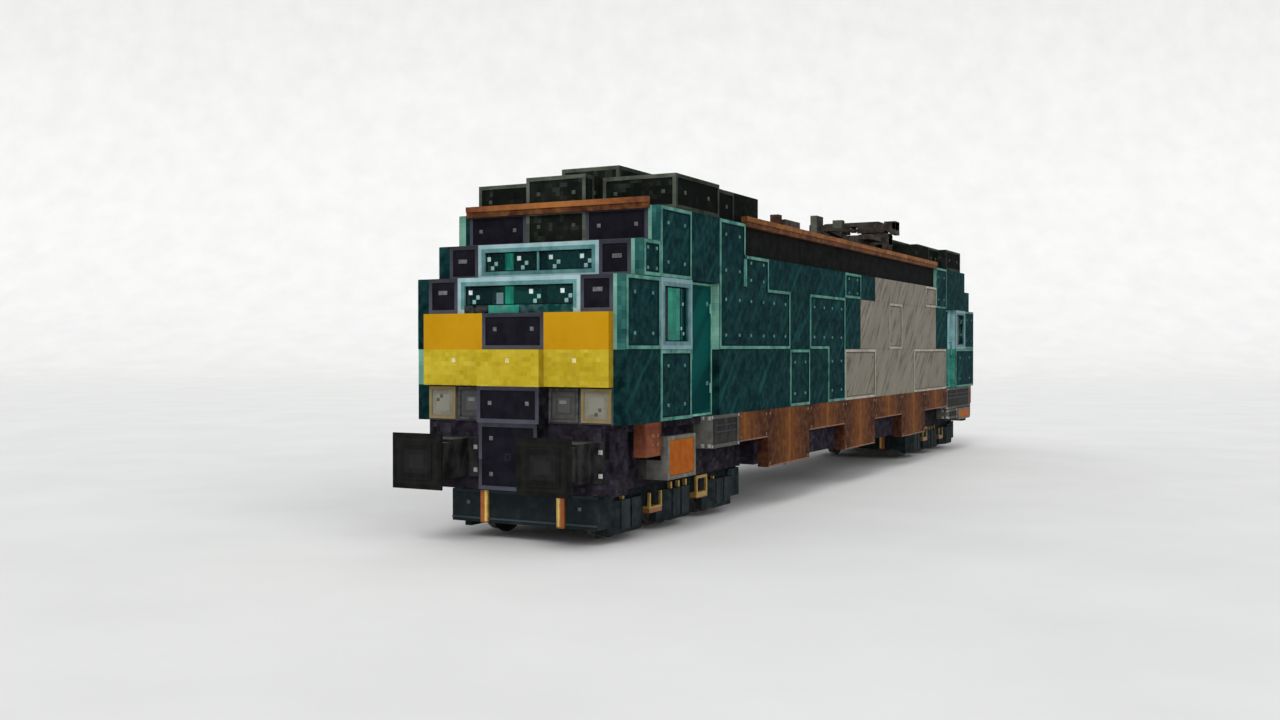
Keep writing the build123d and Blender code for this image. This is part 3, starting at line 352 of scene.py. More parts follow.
@paint()
def body_beige(p):
    """Smooth beige with a few thin dark strokes."""
    fine = p.strokes(0.085, 0.8, 1.0)
    p.colour = p.mix(p.ramp(p.strokes(0.34, 2.2), 0.35, 0.65), (117, 112, 102), (127, 122, 112))
    p.coat((88, 81, 69), p.ramp(fine, 0.44, 0.36), 0.75)
    p.coat((138, 132, 122), p.ramp(fine, 0.6, 0.72), 0.4)
    seam = p.panel_line() < 0.005
    p.coat((78, 72, 62), seam, 0.35)
    p.done((150, 144, 132), (92, 82, 68), 0.2, p.noise(40.0) * 0.25 - seam, 0.003, (0.6, 0.85))


def frames(name, dark, light, wear, dirt):
    """The raised frames, in small squares of slightly different tone, and painted darker on their edges as
    shade.
    """
    p = Paint(name)
    p.colour = p.patches(dark, light, 5.0, CELL / 2)
    # Painted shade on the faces that are not the outer face of a frame
    p.coat(shade(dark, 0.5), p.ax < HALF + RELIEF - 0.0005, 0.5)
    p.done(wear, dirt, 0.2, 60, 0.001, (0.5, 0.7))


frames("frame_green", (48, 98, 92), (88, 142, 128), (150, 196, 180), (40, 64, 60))
frames("frame_beige", (142, 136, 126), (168, 161, 151), (190, 184, 172), (96, 88, 78))


@paint()
def panel_dark(p):
    """Purple black panels inside lighter frames, which lie in the planes of the ends."""
    p.colour = p.patches((22, 22, 28), (31, 30, 38), 7.0, CELL / 2)
    planes = [NOSE + NOSE_PROUD, NOSE] + [NOSE - LAMP_ROW_BACK - n * STEP for n in range(3)]
    rim = p.mix(p.math("FRACT", (p.z - SOLE) * (1 / ROW)), (90, 92, 104), (46, 46, 55))
    rim = p.mix(p.noise(6.0, point=p.snap()) * 0.8, rim, (58, 57, 66))
    p.coat(rim, p.near(p.ay, 0.004, *planes) * p.faces_end)
    # Painted shade: the side faces are darker
    p.coat((12, 12, 16), p.faces_side, 0.6)
    p.done((104, 102, 108), (40, 37, 36), 0.16, 50, 0.001, (0.55, 0.75))


@paint()
def nose_yellow(p):
    """Bright yellow, softly mottled in small squares."""
    coarse = p.noise(3.0, 2.0, 0.6, p.snap())
    fine = p.noise(9.0, 2.0, 0.6, p.snap(), (1, 1, 2))
    tone = coarse * 0.5 + fine * 0.5
    p.colour = p.mix(p.ramp(tone, 0.38, 0.50), (172, 146, 28), (186, 163, 38))
    p.coat((200, 180, 58), p.ramp(tone, 0.52, 0.66))
    # Painted shade: the side faces are darker than the front
    p.coat((110, 86, 14), p.faces_side, 0.55)
    p.done((214, 196, 96), (112, 90, 36), 0.14, 50, 0.0012, (0.5, 0.7))


@paint()
def nose_orange(p):
    p.colour = p.mix(p.ramp(p.noise(2.2, 3.0, 0.5), 0.35, 0.65), (184, 135, 14), (192, 142, 20))
    # Painted shade: the side faces are darker than the front
    p.coat((140, 92, 8), p.faces_side, 0.5)
    p.done((206, 164, 66), (112, 80, 28), 0.1, 45, 0.001, (0.5, 0.7))


@paint()
def window_frame(p):
    """Frames of the screens and side windows: pale blue grey outside, aqua towards the glass."""
    side = p.box_distance(p.ay, p.z, back(WINDOW), level(3), BAY / 2, ROW)
    lower = p.box_distance(p.x, p.z, 0.0, level(3.5), SCREEN_HALF, ROW / 2)
    upper = p.box_distance(p.x, p.z, 0.0, level(4.5), SCREEN_HALF, ROW / 2)
    is_side = p.ax > HALF - 0.001
    is_upper = p.z > level(4)
    front = is_upper * upper + (1.0 - is_upper) * lower
    depth = is_side * side + (1.0 - is_side) * front
    pale = p.patches((140, 172, 176), (164, 190, 192), 6.0, CELL / 2)
    aqua = p.patches((72, 118, 120), (100, 146, 146), 6.0, CELL / 2)
    p.colour = p.mix(depth < -SCREEN_BAR / 2, pale, aqua)
    # Painted shade: the frames of the side windows are darker than those of the screens
    p.coat((78, 104, 112), is_side, 0.6)
    # The sill of the lower screen is painted like the pane, as far as the pane is wide: black and dark teal
    # as painted shade inside the cab, mint as its lit wall, and a darker top as painted shade
    right = p.patches((10, 52, 52), (15, 70, 66))
    like_pane = p.mix(p.x > 0.02, p.patches((30, 120, 104), (48, 150, 128)), right)
    like_pane = p.mix(p.x < -0.42, like_pane, (8, 10, 12))
    like_pane = p.mix(p.faces_up * 0.7, like_pane, (4, 8, 9))
    p.coat(like_pane, (p.z < level(3) + SCREEN_BAR) * (p.ax < PANE) * (1.0 - is_side))
    p.done((190, 214, 214), (78, 96, 98), 0.12, 50, 0.0008, (0.45, 0.65))


@paint(rough=0.06, spec=0.2)
def window_glass(p):
    """Thin dark teal glass that lets the cab's inside show."""
    p.put("Base Color", (18, 52, 54))
    p.put("Alpha", 0.25)


@paint()
def band_black(p):
    p.colour = p.patches((15, 17, 17), (24, 26, 25), 5.0)
    p.done((54, 52, 48), (36, 34, 31), 0.14, 30, 0.0015, (0.65, 0.85))


@paint(spec=0.03)
def copper_strip(p):
    """A strip with a lit upper half, a dark lower half and a seam at each panel."""
    upper = p.patches((96, 56, 30), (134, 84, 42), 5.0, CELL, (1, 0.6, 1))
    lower = p.patches((62, 34, 22), (86, 48, 30), 5.0, CELL, (1, 0.6, 1))
    front = p.mix(p.ramp(p.ax + p.noise(3.0) * 0.5, 0.4, 1.5), (166, 104, 56), (98, 52, 38))
    upper = p.mix((p.ay > NOSE - 1.2) * 0.8, upper, front)
    strip_middle = level(6) + 0.035
    p.colour = p.mix(p.z > strip_middle, lower, upper)
    seam = p.bay_line() < SEAM
    p.coat((56, 28, 18), seam, 0.6)
    p.done((190, 134, 80), (54, 38, 28), 0.2, p.noise(50.0) * 0.3 - seam, 0.002, (0.45, 0.65))


@paint()
def roof_olive(p):
    """Olive black roof whose panel frames are a grey green, found from the outer faces."""
    p.colour = p.patches((19, 22, 20), (31, 34, 30), 5.0)
    p.coat((60, 66, 58), p.ramp(p.noise(7.0, 1.0, 0.5, p.snap()), 0.6, 0.7), 0.5)
    # Painted shade: the side faces are darker
    p.coat((11, 14, 13), p.faces_side, 0.75)
    sides = p.faces_side * p.near(p.ax, 0.003, HALF, INNER)
    sides = sides * (p.ay > back(CAB_END)) * (p.z > level(6))
    box_front = NOSE - LAMP_ROW_BACK - 3 * STEP
    fronts = p.faces_end * p.near(p.ay, 0.003, box_front, box_front + STEP)
    # The raised part of the hood has a rim along its outline
    hood_front = p.faces_end * p.near(p.ay, 0.003, back(DOOR_FRONT))
    hood_rim = p.box_distance(p.x, p.z, 0.0, level(7.25), NOSE_BLOCK, ROW / 4) > -BAR
    hood_side = p.faces_side * p.near(p.ax, 0.003, NOSE_BLOCK)
    side_rim = (p.z > level(7.5) - BAR) | (p.edge(p.y, 2 * BAY, station(DOOR_FRONT)) < BAR)
    # The lower part of the hood's sides, in front of the side boxes
    low_rim = p.box_distance(p.ay, p.z, box_front + STEP, level(6.5), STEP / 2, ROW / 2) > -BAR
    low_rim = low_rim * (p.z < level(7)) * (p.ay > box_front + STEP / 2)
    # Seams and rims of the panels on top
    grid = p.least(p.bay_line(), p.edge(p.x, 2 * NOSE_BLOCK, NOSE_BLOCK))
    top_rim = p.faces_up * p.between(grid, SEAM, BAR)
    # Painted shade: the rims on the side faces are darker
    rim_shaded_side = p.patches((38, 44, 39), (58, 64, 56), 5.0)
    rim = p.mix(p.faces_side, p.patches((68, 74, 64), (94, 100, 88), 5.0), rim_shaded_side)
    p.coat(rim, hood_front * hood_rim | hood_side * side_rim | hood_side * low_rim | top_rim | sides | fronts)
    seam = p.faces_up * (grid < SEAM)
    p.coat((14, 16, 14), seam)
    p.done((80, 84, 74), (34, 34, 30), 0.1, p.noise(24.0, 5.0) - seam, 0.002, (0.65, 0.85))


def mottled(p, dark, base, light, dirt_top, cell=CELL, dirt=(44, 40, 37)):
    """Weathered dark paint, mottled in small squares."""
    tone = p.noise(6.0, 3.0, 0.65, p.snap(cell))
    p.colour = p.mix(p.ramp(tone, 0.36, 0.5), dark, base)
    p.coat(light, p.ramp(tone, 0.53, 0.66))
    p.worn(shade(light, 1.6), dirt, 0.2, dirt_top)
    p.bump(p.noise(30.0, 4.0), 0.0015)


@paint()
def frame_paint(p):
    """Purple black of the underframe and beams."""
    mottled(p, (22, 19, 25), (33, 29, 36), (56, 51, 60), 0.6)
    p.finish(0.6, 0.8)


@paint()
def buffer_black(p):
    """Greasy buffer heads with squares one inside the other, on lighter housings."""
    blotch = p.noise(7.0, 2.0, 0.6, p.snap(CELL / 2), (1, 1, 0.6))
    housing = p.mix(p.ramp(blotch, 0.38, 0.66), (26, 26, 27), (54, 54, 53))
    # Painted light: the tops of the housings are lighter
    housing = p.mix(p.faces_up, housing, (84, 84, 80))
    d = p.box_distance(p.ax, p.z, BUFFER_X, 1.026, 0.3575, 0.33)
    head = p.patches((21, 22, 21), (25, 26, 24), 9.0, CELL / 2)
    squares = [(0.06, (29, 30, 28)), (0.13, (24, 25, 24)), (0.19, (31, 32, 31)), (0.25, (38, 38, 37))]
    for depth, tone in squares:
        head = p.mix(d < -depth, head, tone)
    p.colour = p.mix(p.ay > NOSE + 0.64, housing, head)
    p.done((70, 70, 68), (30, 28, 26), 0.1, 50, 0.001, (0.5, 0.7))


@paint(spec=0.02)
def skirt_brown(p):
    """Copper skirts: each panel glows along its middle and darkens to its upright edges."""
    across = p.edge(p.y, 2 * BAY, station(1.125))
    grain = p.noise(4.0, 2.0, 0.6, p.snap(), (1, 1.2, 0.5)) * 0.16
    p.colour = p.mix(p.ramp(across + grain, 0.25, 0.95), (54, 30, 22), (98, 57, 27))
    p.coat((132, 84, 38), across > BAY - 0.04, 0.5)
    p.coat((80, 46, 38), p.faces_end, 0.85)
    p.coat(p.patches((100, 54, 40), (132, 75, 55), 5.0), p.ay > back(3), 0.8)
    seam = across < 0.02
    p.coat((40, 22, 18), seam, 0.6)
    p.done((170, 112, 66), (52, 38, 30), 0.2, p.noise(40.0) * 0.3 - seam, 0.002, (0.5, 0.7), 0.5)


@paint()
def box_grey(p):
    """Grey boxes with upright streaks: paler ends, frames and board housings."""
    p.colour = p.patches((38, 38, 37), (58, 58, 56), 8.0, CELL / 2, (1, 1, 0.4))
    p.coat(p.patches((84, 82, 79), (108, 105, 100), 5.0), p.faces_end * (p.ax > INNER - 0.1))
    board = p.near(p.ax, 0.003, BOARD_FACE) * p.faces_side
    p.coat(p.patches((86, 84, 76), (116, 113, 103), 8.0, CELL / 2), board)
    p.coat((92, 91, 88), p.near(p.ax, 0.003, HALF) * (p.z < SOLE) * p.faces_side, 0.6)
    # The boxes on the roof have their end faces painted lighter as painted light, and the smallest one is
    # rusty
    on_roof = p.z > ROOF_TOP - 0.01
    front = p.patches((72, 74, 64), (96, 98, 86))
    roof_tone = p.mix(p.faces_end, p.patches((46, 44, 40), (62, 58, 52)), front)
    roof_tone = p.mix(p.z < ROOF_TOP + 0.4, roof_tone, p.patches((56, 50, 46), (76, 68, 62)))
    p.coat(roof_tone, on_roof)
    p.coat(p.patches((52, 36, 31), (72, 46, 37)), on_roof * p.between(p.y, station(9.65), station(9.905)))
    p.done((132, 130, 124), (44, 40, 36), 0.2, 40, 0.001, (0.5, 0.7))


def lamp_lens(name, x, rim, face_dark, face_light, *squares):
    """Square lamp: a coloured rim, then squares inside it."""
    p = Paint(name, spec=0.2)
    d = p.box_distance(p.ax, p.z, x, LAMP_Z, 0.2, 0.2)
    p.colour = p.mix(d > -0.042, p.patches(face_dark, face_light, 9.0, CELL / 2), rim)
    for depth, tone in squares:
        p.coat(tone, d < -depth)
    p.done((190, 186, 170), (70, 62, 50), 0.15, 60, 0.0006, (0.35, 0.55))


lamp_lens("headlamp_cream", CREAM_LAMP_X, (128, 112, 70), (116, 113, 100), (132, 130, 116),
          (0.1, (134, 132, 120)))
lamp_lens("marker_grey", GREY_LAMP_X, (50, 49, 50), (62, 62, 61), (78, 77, 76),
          (0.09, (62, 62, 62)), (0.115, (80, 79, 78)))


@paint()
def bogie_green(p):
    """Green black castings, with painted sheen on the pads of the axle boxes, and paler on the pilots'
    ridges.
    """
    mottled(p, (23, 29, 31), (33, 39, 41), (47, 54, 56), 0.05, CELL / 2, (46, 41, 36))
    # Painted highlight: streaks of sheen on the outer faces of the axle boxes
    sheen = p.noise(5.0, 2.0, 0.5, p.snap(CELL / 2), (1, 1.6, 0.15))
    p.coat((58, 64, 65), (p.ax > 1.112) * p.faces_side * p.ramp(sheen, 0.35, 0.65), 0.7)
    pilot = p.faces_end * p.near(p.ay, 0.004, NOSE - PILOT_BACK, NOSE - PILOT_BACK + RELIEF)
    p.coat(p.patches((34, 42, 45), (46, 54, 57), 5.0), pilot, 0.5)
    p.coat((66, 76, 79), pilot * p.between(p.z, 0.245, 0.271))
    p.coat((50, 60, 63), pilot * (p.z > 0.575))
    p.finish(0.6, 0.8)


@paint(metal=0.2, spec=0.3)
def bogie_brass(p):
    """Gold, with an orange stripe on the outside of the pilots' bars and a coppery foot."""
    p.colour = p.patches((184, 142, 58), (222, 182, 88), 12.0, CELL / 2)
    p.coat((248, 216, 136), p.near(p.ax, 0.008, 0.523))
    # The hangers are duller, most of all on the rear bogie
    hanger = p.ax > 0.9
    p.coat((62, 54, 36), hanger * ((p.y > 0.0) * 0.25 + 0.5))
    p.coat((166, 88, 42), p.between(p.ax, 0.548, 0.7))
    p.coat((128, 66, 38), hanger * (p.z < 0.33) | (p.z < 0.23), 0.85)
    p.done((236, 204, 130), (76, 54, 32), 0.1, 60, 0.0008, (0.4, 0.6))


@paint(rough=0.35, metal=0.8, spec=0.4)
def wheel_steel(p):
    """Bright treads and greasy wheel faces."""
    steel = p.mix(p.ramp(p.noise(22.0, 4.0), 0.35, 0.7), (118, 116, 112), (150, 148, 142))
    grease = p.mix(p.ramp(p.noise(7.0, 4.0), 0.4, 0.65), (34, 31, 28), (58, 52, 46))
    p.colour = p.mix(p.faces_side, steel, grease)
    p.bump(p.noise(120.0), 0.0004)
    p.finish(0.35, 0.65)


@paint()
def cab_lining(p):
    """Green wall behind the driver and a black desk, with a painted glow that stands for light inside the
    cab.
    """
    wall = p.patches((10, 48, 50), (16, 66, 64), 5.0)
    p.colour = p.mix(p.ay > back(1), wall, p.patches((12, 14, 16), (22, 24, 26)))
    # Painted light: the lining glows a little
    p.glow(p.colour, CAB_LIGHT)
    p.done((90, 170, 140), (30, 40, 36), 0.15, 60, 0.0008, (0.5, 0.7))


@paint(rough=0.85)
def seat_cover(p):
    """Dark woven cloth."""
    weave = p.math("SINE", (p.x + p.y) * 900.0) * p.math("SINE", (p.z + p.y) * 900.0)
    p.colour = p.mix(p.ramp(weave, -0.4, 0.6), (9, 20, 22), (18, 32, 34))
    p.coat((24, 30, 30), p.ramp(p.noise(5.0), 0.4, 0.7), 0.4)
    p.bump(weave, 0.0008)
    p.finish()


@paint()
def cab_mint(p):
    """Bright mint strips inside the cabs, with a painted glow that stands for light inside the cab."""
    p.colour = p.patches((4, 136, 118), (60, 214, 176), 2.5)
    # Painted light: the strips glow a little
    p.glow(p.colour, CAB_LIGHT)
    p.finish(0.4, 0.6)


@paint(rough=0.85, spec=0.05)
def floor_paint(p):
    p.colour = p.mix(p.ramp(p.noise(0.4), 0.3, 0.7), (226, 226, 224), (232, 232, 230))
    p.finish()


def plain(name, dark, light, rough, amount=0.2, scale=14.0, cell=CELL / 4, metal=0.0):
    """Two close tones in patches, with wear."""
    p = Paint(name, metal=metal, spec=0.03)
    p.colour = p.patches(dark, light, scale, cell)
    p.done(shade(light, 1.3), (44, 39, 34), amount, 70, 0.0006, (rough - 0.1, rough + 0.15))


# Small fittings, columns: name, dark tone, light tone, roughness
# Some go on with the amount of wear, the scale and size of the patches, and how metallic they are
PLAIN = [
    ("engine_iron", (56, 58, 56), (76, 78, 75), 0.6, 0.2, 14.0, CELL / 4, 0.3),
    ("collector_grey", (44, 38, 36), (74, 68, 62), 0.6, 0.2, 10.0, CELL / 2, 0.1),
    ("bolt_pale", (62, 104, 101), (92, 134, 128), 0.4),
    ("trim_mint", (78, 138, 124), (126, 178, 158), 0.5, 0.2, 5.0, CELL),
    ("bolt_grey", (84, 83, 86), (116, 114, 116), 0.4),
    ("bolt_bright", (136, 136, 136), (170, 170, 168), 0.4),
    ("bolt_beige", (78, 72, 62), (100, 94, 82), 0.5),
    ("hatch_mark", (34, 33, 42), (40, 39, 48), 0.5),
    ("lamp_light", (104, 104, 102), (122, 122, 120), 0.5),
    # Dark strips that stand for the shadow lines inside the frames
    ("gasket", (7, 26, 29), (11, 34, 36), 0.6),
    ("gasket_beige", (84, 78, 67), (98, 91, 80), 0.6),
    ("blind", (96, 160, 152), (136, 190, 180), 0.6, 0.2, 5.0, CELL),
    ("lamp_mark", (82, 80, 74), (94, 92, 84), 0.5),
    ("bolt_dark", (44, 42, 48), (58, 56, 62), 0.5),
    ("bolt_olive", (58, 66, 57), (78, 86, 74), 0.5),
    ("bolt_copper", (104, 72, 60), (134, 98, 82), 0.4),
    ("bolt_yellow", (204, 188, 116), (226, 214, 158), 0.45),
    ("plate_orange", (142, 72, 10), (160, 84, 15), 0.45, 0.1, 10.0, CELL / 2),
    ("glint", (176, 204, 204), (222, 238, 238), 0.4, 0.05),
    ("glint_aqua", (122, 164, 162), (148, 184, 182), 0.4, 0.05),
    ("glaze", (70, 42, 32), (96, 58, 42), 0.25, 0.1),
    ("rubber", (12, 12, 13), (22, 22, 23), 0.7),
]
for columns in PLAIN:
    plain(*columns)

slot_of = {entry["node"]: entry["material_slot"] for entry in frame["record"]["subparts"]}
for name, node in nodes.items():
    material = finishes[slot_of[name]]
    if not node.material_slots:
        node.data.materials.append(material)
    for slot in node.material_slots:
        slot.material = material


# Mesh helpers

def block(bm, corner, opposite, bevel=0.004):
    """A box between two opposite corners with its edges bevelled."""
    low, high = [Vector(tuple(map(pick, corner, opposite))) for pick in (min, max)]
    matrix = Matrix.Translation((low + high) / 2) @ Matrix.Diagonal((*(high - low), 1.0))
    made = bmesh.ops.create_cube(bm, size=1.0, matrix=matrix)
    edges = {edge for vert in made["verts"] for edge in vert.link_edges}
    bmesh.ops.bevel(bm, geom=list(edges), offset=bevel, segments=1, affect="EDGES", profile=0.5)


def on_side(side, distance=HALF):
    """The plane of a side, at a distance from the middle: its axis, its place and the way out."""
    return "x", side * distance, side


def on_end(end, behind):
    """The plane of an end, at a distance behind the nose."""
    return "y", end * (NOSE - behind), end


def on(plane, u, v, out=0.0):
    """The point of a plane that is given across and up, and how far out of the plane."""
    axis, face, way = plane
    return (face + way * out, u, v) if axis == "x" else (u, face + way * out, v)


def plate(bm, plane, corner, opposite, proud, bevel=0.002):
    """A thin block on a plane."""
    block(bm, on(plane, *corner), on(plane, *opposite, proud), bevel)


def border(bm, plane, corner, opposite, width, proud):
    """Four strips just inside the outline of a rectangle on a plane."""
    left, right = sorted((corner[0], opposite[0]))
    low, high = sorted((corner[1], opposite[1]))
    for v in (low, high - width):
        plate(bm, plane, (left, v), (right, v + width), proud)
    for u in (left, right - width):
        plate(bm, plane, (u, low + width), (u + width, high - width), proud)


def tube(bm, start, end, radius, sides=16, radius_end=None):
    """A round bar between two points."""
    start, end = Vector(start), Vector(end)
    turn = (end - start).to_track_quat("Z", "Y").to_matrix().to_4x4()
    matrix = Matrix.Translation((start + end) / 2) @ turn
    bmesh.ops.create_cone(bm, cap_ends=True, segments=sides, radius1=radius, depth=(end - start).length,
                          radius2=radius if radius_end is None else radius_end, matrix=matrix)


def skin(bm, rings, capped=True):
    """Faces between rings of points and, if capped, over the first and last ring."""
    rings = [[bm.verts.new(point) for point in ring] for ring in rings]
    if capped:
        bm.faces.new(rings[0][::-1])
        bm.faces.new(rings[-1])
    for here, after in zip(rings, rings[1:]):
        for k in range(len(here)):
            following = (k + 1) % len(here)
            bm.faces.new((here[k], here[following], after[following], after[k]))


def coil(bm, foot, height, radius, wire, turns):
    """A coil spring standing on a point."""
    steps, sides = 12 * turns, 6
    rings = []
    for n in range(steps + 1):
        angle = radians(30 * n)
        middle = wire + (height - 2 * wire) * n / steps
        ring = []
        for k in range(sides):
            around = radians(360 * k / sides)
            out = radius + wire * cos(around)
            up = middle + wire * sin(around)
            ring.append((foot[0] + out * cos(angle), foot[1] + out * sin(angle), foot[2] + up))
        rings.append(ring)
    skin(bm, rings)


def stud(bm, place, facing, size=0.05, proud=0.012):
    """A square bolt head with sloping sides, standing on a surface that faces along facing."""
    place, facing = Vector(place), Vector(facing)
    turn = facing.to_track_quat("Z", "Y").to_matrix()
    rings = []
    for half, height in ((size / 2, 0.0), (size / 2, proud * 0.55), (size * 0.36, proud)):
        corners = [(-half, -half), (half, -half), (half, half), (-half, half)]
        rings.append([place + turn @ Vector((a, b, height)) for a, b in corners])
    skin(bm, rings)


def bolt(bm, plane, u, v, size=0.05, proud=0.01):
    """A bolt head on a plane."""
    axis, face, way = plane
    stud(bm, on(plane, u, v), on((axis, 0, way), 0, 0, 1), size, proud)


def four_bolts(bm, plane, corner, opposite, size, proud=0.009):
    """A bolt at each corner of a rectangle on a plane."""
    for u, v in product((corner[0], opposite[0]), (corner[1], opposite[1])):
        bolt(bm, plane, u, v, size, proud)


def drawn(name, material, fill):
    """An object with one joined mesh, filled in by a function."""
    bm = bmesh.new()
    fill(bm)
    bmesh.ops.recalc_face_normals(bm, faces=bm.faces)
    mesh = bpy.data.meshes.new(name)
    bm.to_mesh(mesh)
    bm.free()
    mesh.materials.append(finishes[material])
    made = bpy.data.objects.new(name, mesh)
    bpy.context.scene.collection.objects.link(made)
    return made


def piece(slot, material, *tables, body="carbody", name=None):
    """Makes a piece that rides on a body and is named after the function below it.

    The function draws what belongs to one row of each table, and is called for all combinations.
    """
    def make(fill):
        def draw(bm):
            for rows in product(*tables):
                fill(bm, *chain(*[row if isinstance(row, tuple) else (row,) for row in rows]))
        made = drawn(name or fill.__name__, material, draw)
        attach(made, body)
    return make


# Framed panels of the sides, with their bolts and the dark strips of painted shadow inside their frames
# Columns: first seam, last seam, lowest row, highest row
TEAL_PANELS = [
    (0, 1, 2, 4), (0.5, 1, 4, 5), (1, 2, 4, 6), (1, 2, 0, 2), (6, 7, 0, 2), (9, 10, 4, 5), (16, 17, 4, 6),
    (18, 20, 0, 2), (19, 20, 2, 4),
]
BEIGE_PANELS = [(12, 13, 2, 4), (9, 11, 0, 2), (14, 17, 0, 2), (15, 16, 4, 5)]
# Corners: seam, row
STAIR_PANEL = [(3, 2), (6, 2), (6, 4), (5, 4), (5, 5), (4, 5), (4, 6), (3, 6)]
CORNER_PANEL = [(7, 2), (8, 2), (8, 0), (9, 0), (9, 4), (7, 4)]
# Parts of the two panels above that carry bolts of their own, columns as in the first table
BOLTED_CELLS = [
    (3, 4, 2, 4), (4, 5, 2, 4), (5, 6, 2, 4), (3, 4, 4, 6),
    (4, 5, 4, 5), (7, 8, 2, 4), (8, 9, 2, 4), (8, 9, 0, 2),
]


def seam_y(seams):
    """Y of a place counted in seams between panels."""
    return station(seams + PANEL_START)


@piece("frame_green", "bolt_pale", SIDES, TEAL_PANELS + BOLTED_CELLS, (0.25, 0.78), (0.22, 0.77))
def side_bolts(bm, side, first, last, low, high, u, v):
    y, z = seam_y(first + u * (last - first)), level(low + v * (high - low))
    bolt(bm, on_side(side), y, z, 0.04, 0.011)


@piece("frame_beige", "bolt_beige", SIDES, BEIGE_PANELS)
def beige_bolts(bm, side, first, last, low, high):
    corner = (seam_y(first) + 0.15, level(low) + 0.15)
    four_bolts(bm, on_side(side), corner, (seam_y(last) - 0.15, level(high) - 0.15), 0.036)


def inset(corners, margin):
    """Corners of an outline with square turns, listed anticlockwise, moved inwards by a margin."""
    moved = []
    for before, here, after in zip(corners[-1:] + corners[:-1], corners, corners[1:] + corners[:1]):
        y, z = here
        for start, end in ((before, here), (here, after)):
            run = abs(end[0] - start[0]) + abs(end[1] - start[1])
            y -= margin * (end[1] - start[1]) / run
            z += margin * (end[0] - start[0]) / run
        moved.append((y, z))
    return moved


def outlines_of(panels):
    return [[(first, low), (last, low), (last, high), (first, high)] for first, last, low, high in panels]


def shadow_strips(name, slot, material, outlines):
    """Flat dark strips along the inner edges of the frames, as painted shadow lines."""
    # Columns: how far beyond the frame's inner edge, how far the strip stands out
    top = RELIEF + 0.001
    profile = [(-0.009, RELIEF), (-0.008, top), (0.001, top), (0.012, 0.001), (0.014, -0.002)]

    @piece(slot, material, SIDES, outlines, name=name)
    def fill(bm, side, outline):
        corners = [(seam_y(seams), level(rows)) for seams, rows in outline]
        rings = []
        for margin, proud in profile:
            rings.append([(side * (HALF + proud), y, z) for y, z in inset(corners, SEAM + BAR + margin)])
        skin(bm, rings, capped=False)


shadow_strips("teal_shadow_strips", "frame_green", "gasket", outlines_of(TEAL_PANELS) + [STAIR_PANEL, CORNER_PANEL])
shadow_strips("beige_shadow_strips", "frame_beige", "gasket_beige", outlines_of(BEIGE_PANELS))


@piece("frame_green", "frame_green", SIDES, (-0.048, SEAM))
def stair_divider(bm, side, along):
    """Two strips that part the highest steps of the stair-shaped panel."""
    y = seam_y(4) + along
    plate(bm, on_side(side), (y, level(4)), (y + 0.042, level(5)), RELIEF)


COVER_BACK = RELIEF - NOSE_PROUD
# Bolts of the dark end panels, columns: x, row, how far the panel's face is behind the nose
END_BOLTS = [
    (-0.26, 0.54, COVER_BACK), (0.27, 0.54, COVER_BACK), (-0.26, 2.56, RELIEF), (0.27, 2.56, RELIEF),
    (-0.625, 5.5, 1.002), (0.625, 5.5, 1.002), (-1.15, 5.5, 1.002), (1.15, 5.5, 1.002),
]
# Pale bars, with the same columns
OUTER_BARS = [(-1.11, 3.6, 0.122), (1.11, 3.6, 0.122), (-1.125, 4.55, 0.562), (1.125, 4.55, 0.562)]


@piece("panel_dark", "bolt_grey", ENDS)
def end_bolts(bm, end):
    for x, rows, behind in END_BOLTS:
        bolt(bm, on_end(end, behind), x, level(rows))
    for x, rows, behind in OUTER_BARS:
        z = level(rows)
        plate(bm, on_end(end, behind), (x - 0.065, z - 0.026), (x + 0.065, z + 0.026), 0.01)
    four_bolts(bm, on_end(end, COVER_BACK), (-0.24, 0.85), (0.24, 1.28), 0.05, 0.01)


@piece("buffer_black", "bolt_bright", ENDS, (-BUFFER_X, BUFFER_X))
def buffer_rivets(bm, end, x):
    four_bolts(bm, on_end(end, BEAM_BACK - 0.04), (x - 0.289, 0.872), (x + 0.289, 1.149), 0.054, 0.014)


@piece("panel_dark", "hatch_mark", ENDS)
def cover_marks(bm, end):
    """A small hatch in the middle of each coupling cover."""
    border(bm, on_end(end, COVER_BACK), (-0.045, 1.015), (0.045, 1.105), 0.02, 0.005)


@piece("nose_yellow", "bolt_yellow", ENDS, [(-0.86, 0.0), (0.0, -NOSE_PROUD), (0.86, 0.0)])
def nose_bolts(bm, end, x, behind):
    bolt(bm, on_end(end, behind), x, level(1.7), 0.056, 0.008)


@piece("frame_paint", "rubber", ENDS, (-1.24, 1.24))
def beam_slots(bm, end, x):
    """Dark upright slots beside the buffers."""
    plate(bm, on_end(end, BEAM_BACK), (x - 0.026, 1.07), (x + 0.026, 1.378), 0.006)


SHALLOW = 0.408
DEEP = 0.85
# Columns: first bay, last bay, depth below the sole
SKIRTS = [
    (3.9, 5.125, SHALLOW), (5.125, 7.125, DEEP), (7.125, 9.125, SHALLOW), (9.125, 11.125, DEEP),
    (11.125, 13.125, SHALLOW), (13.125, 15.125, DEEP), (15.125, 17.25, SHALLOW),
]


@piece("skirt_brown", "bolt_copper", SIDES)
def skirt_bolts(bm, side):
    for first, last, depth in SKIRTS:
        corner = (station(first) + 0.075, SOLE - 0.06)
        four_bolts(bm, on_side(side), corner, (station(last) - 0.075, SOLE - depth + 0.055), 0.036)
    four_bolts(bm, on_side(side), (station(0.9), SOLE - 0.16), (station(1.05), SOLE - 0.27), 0.036)


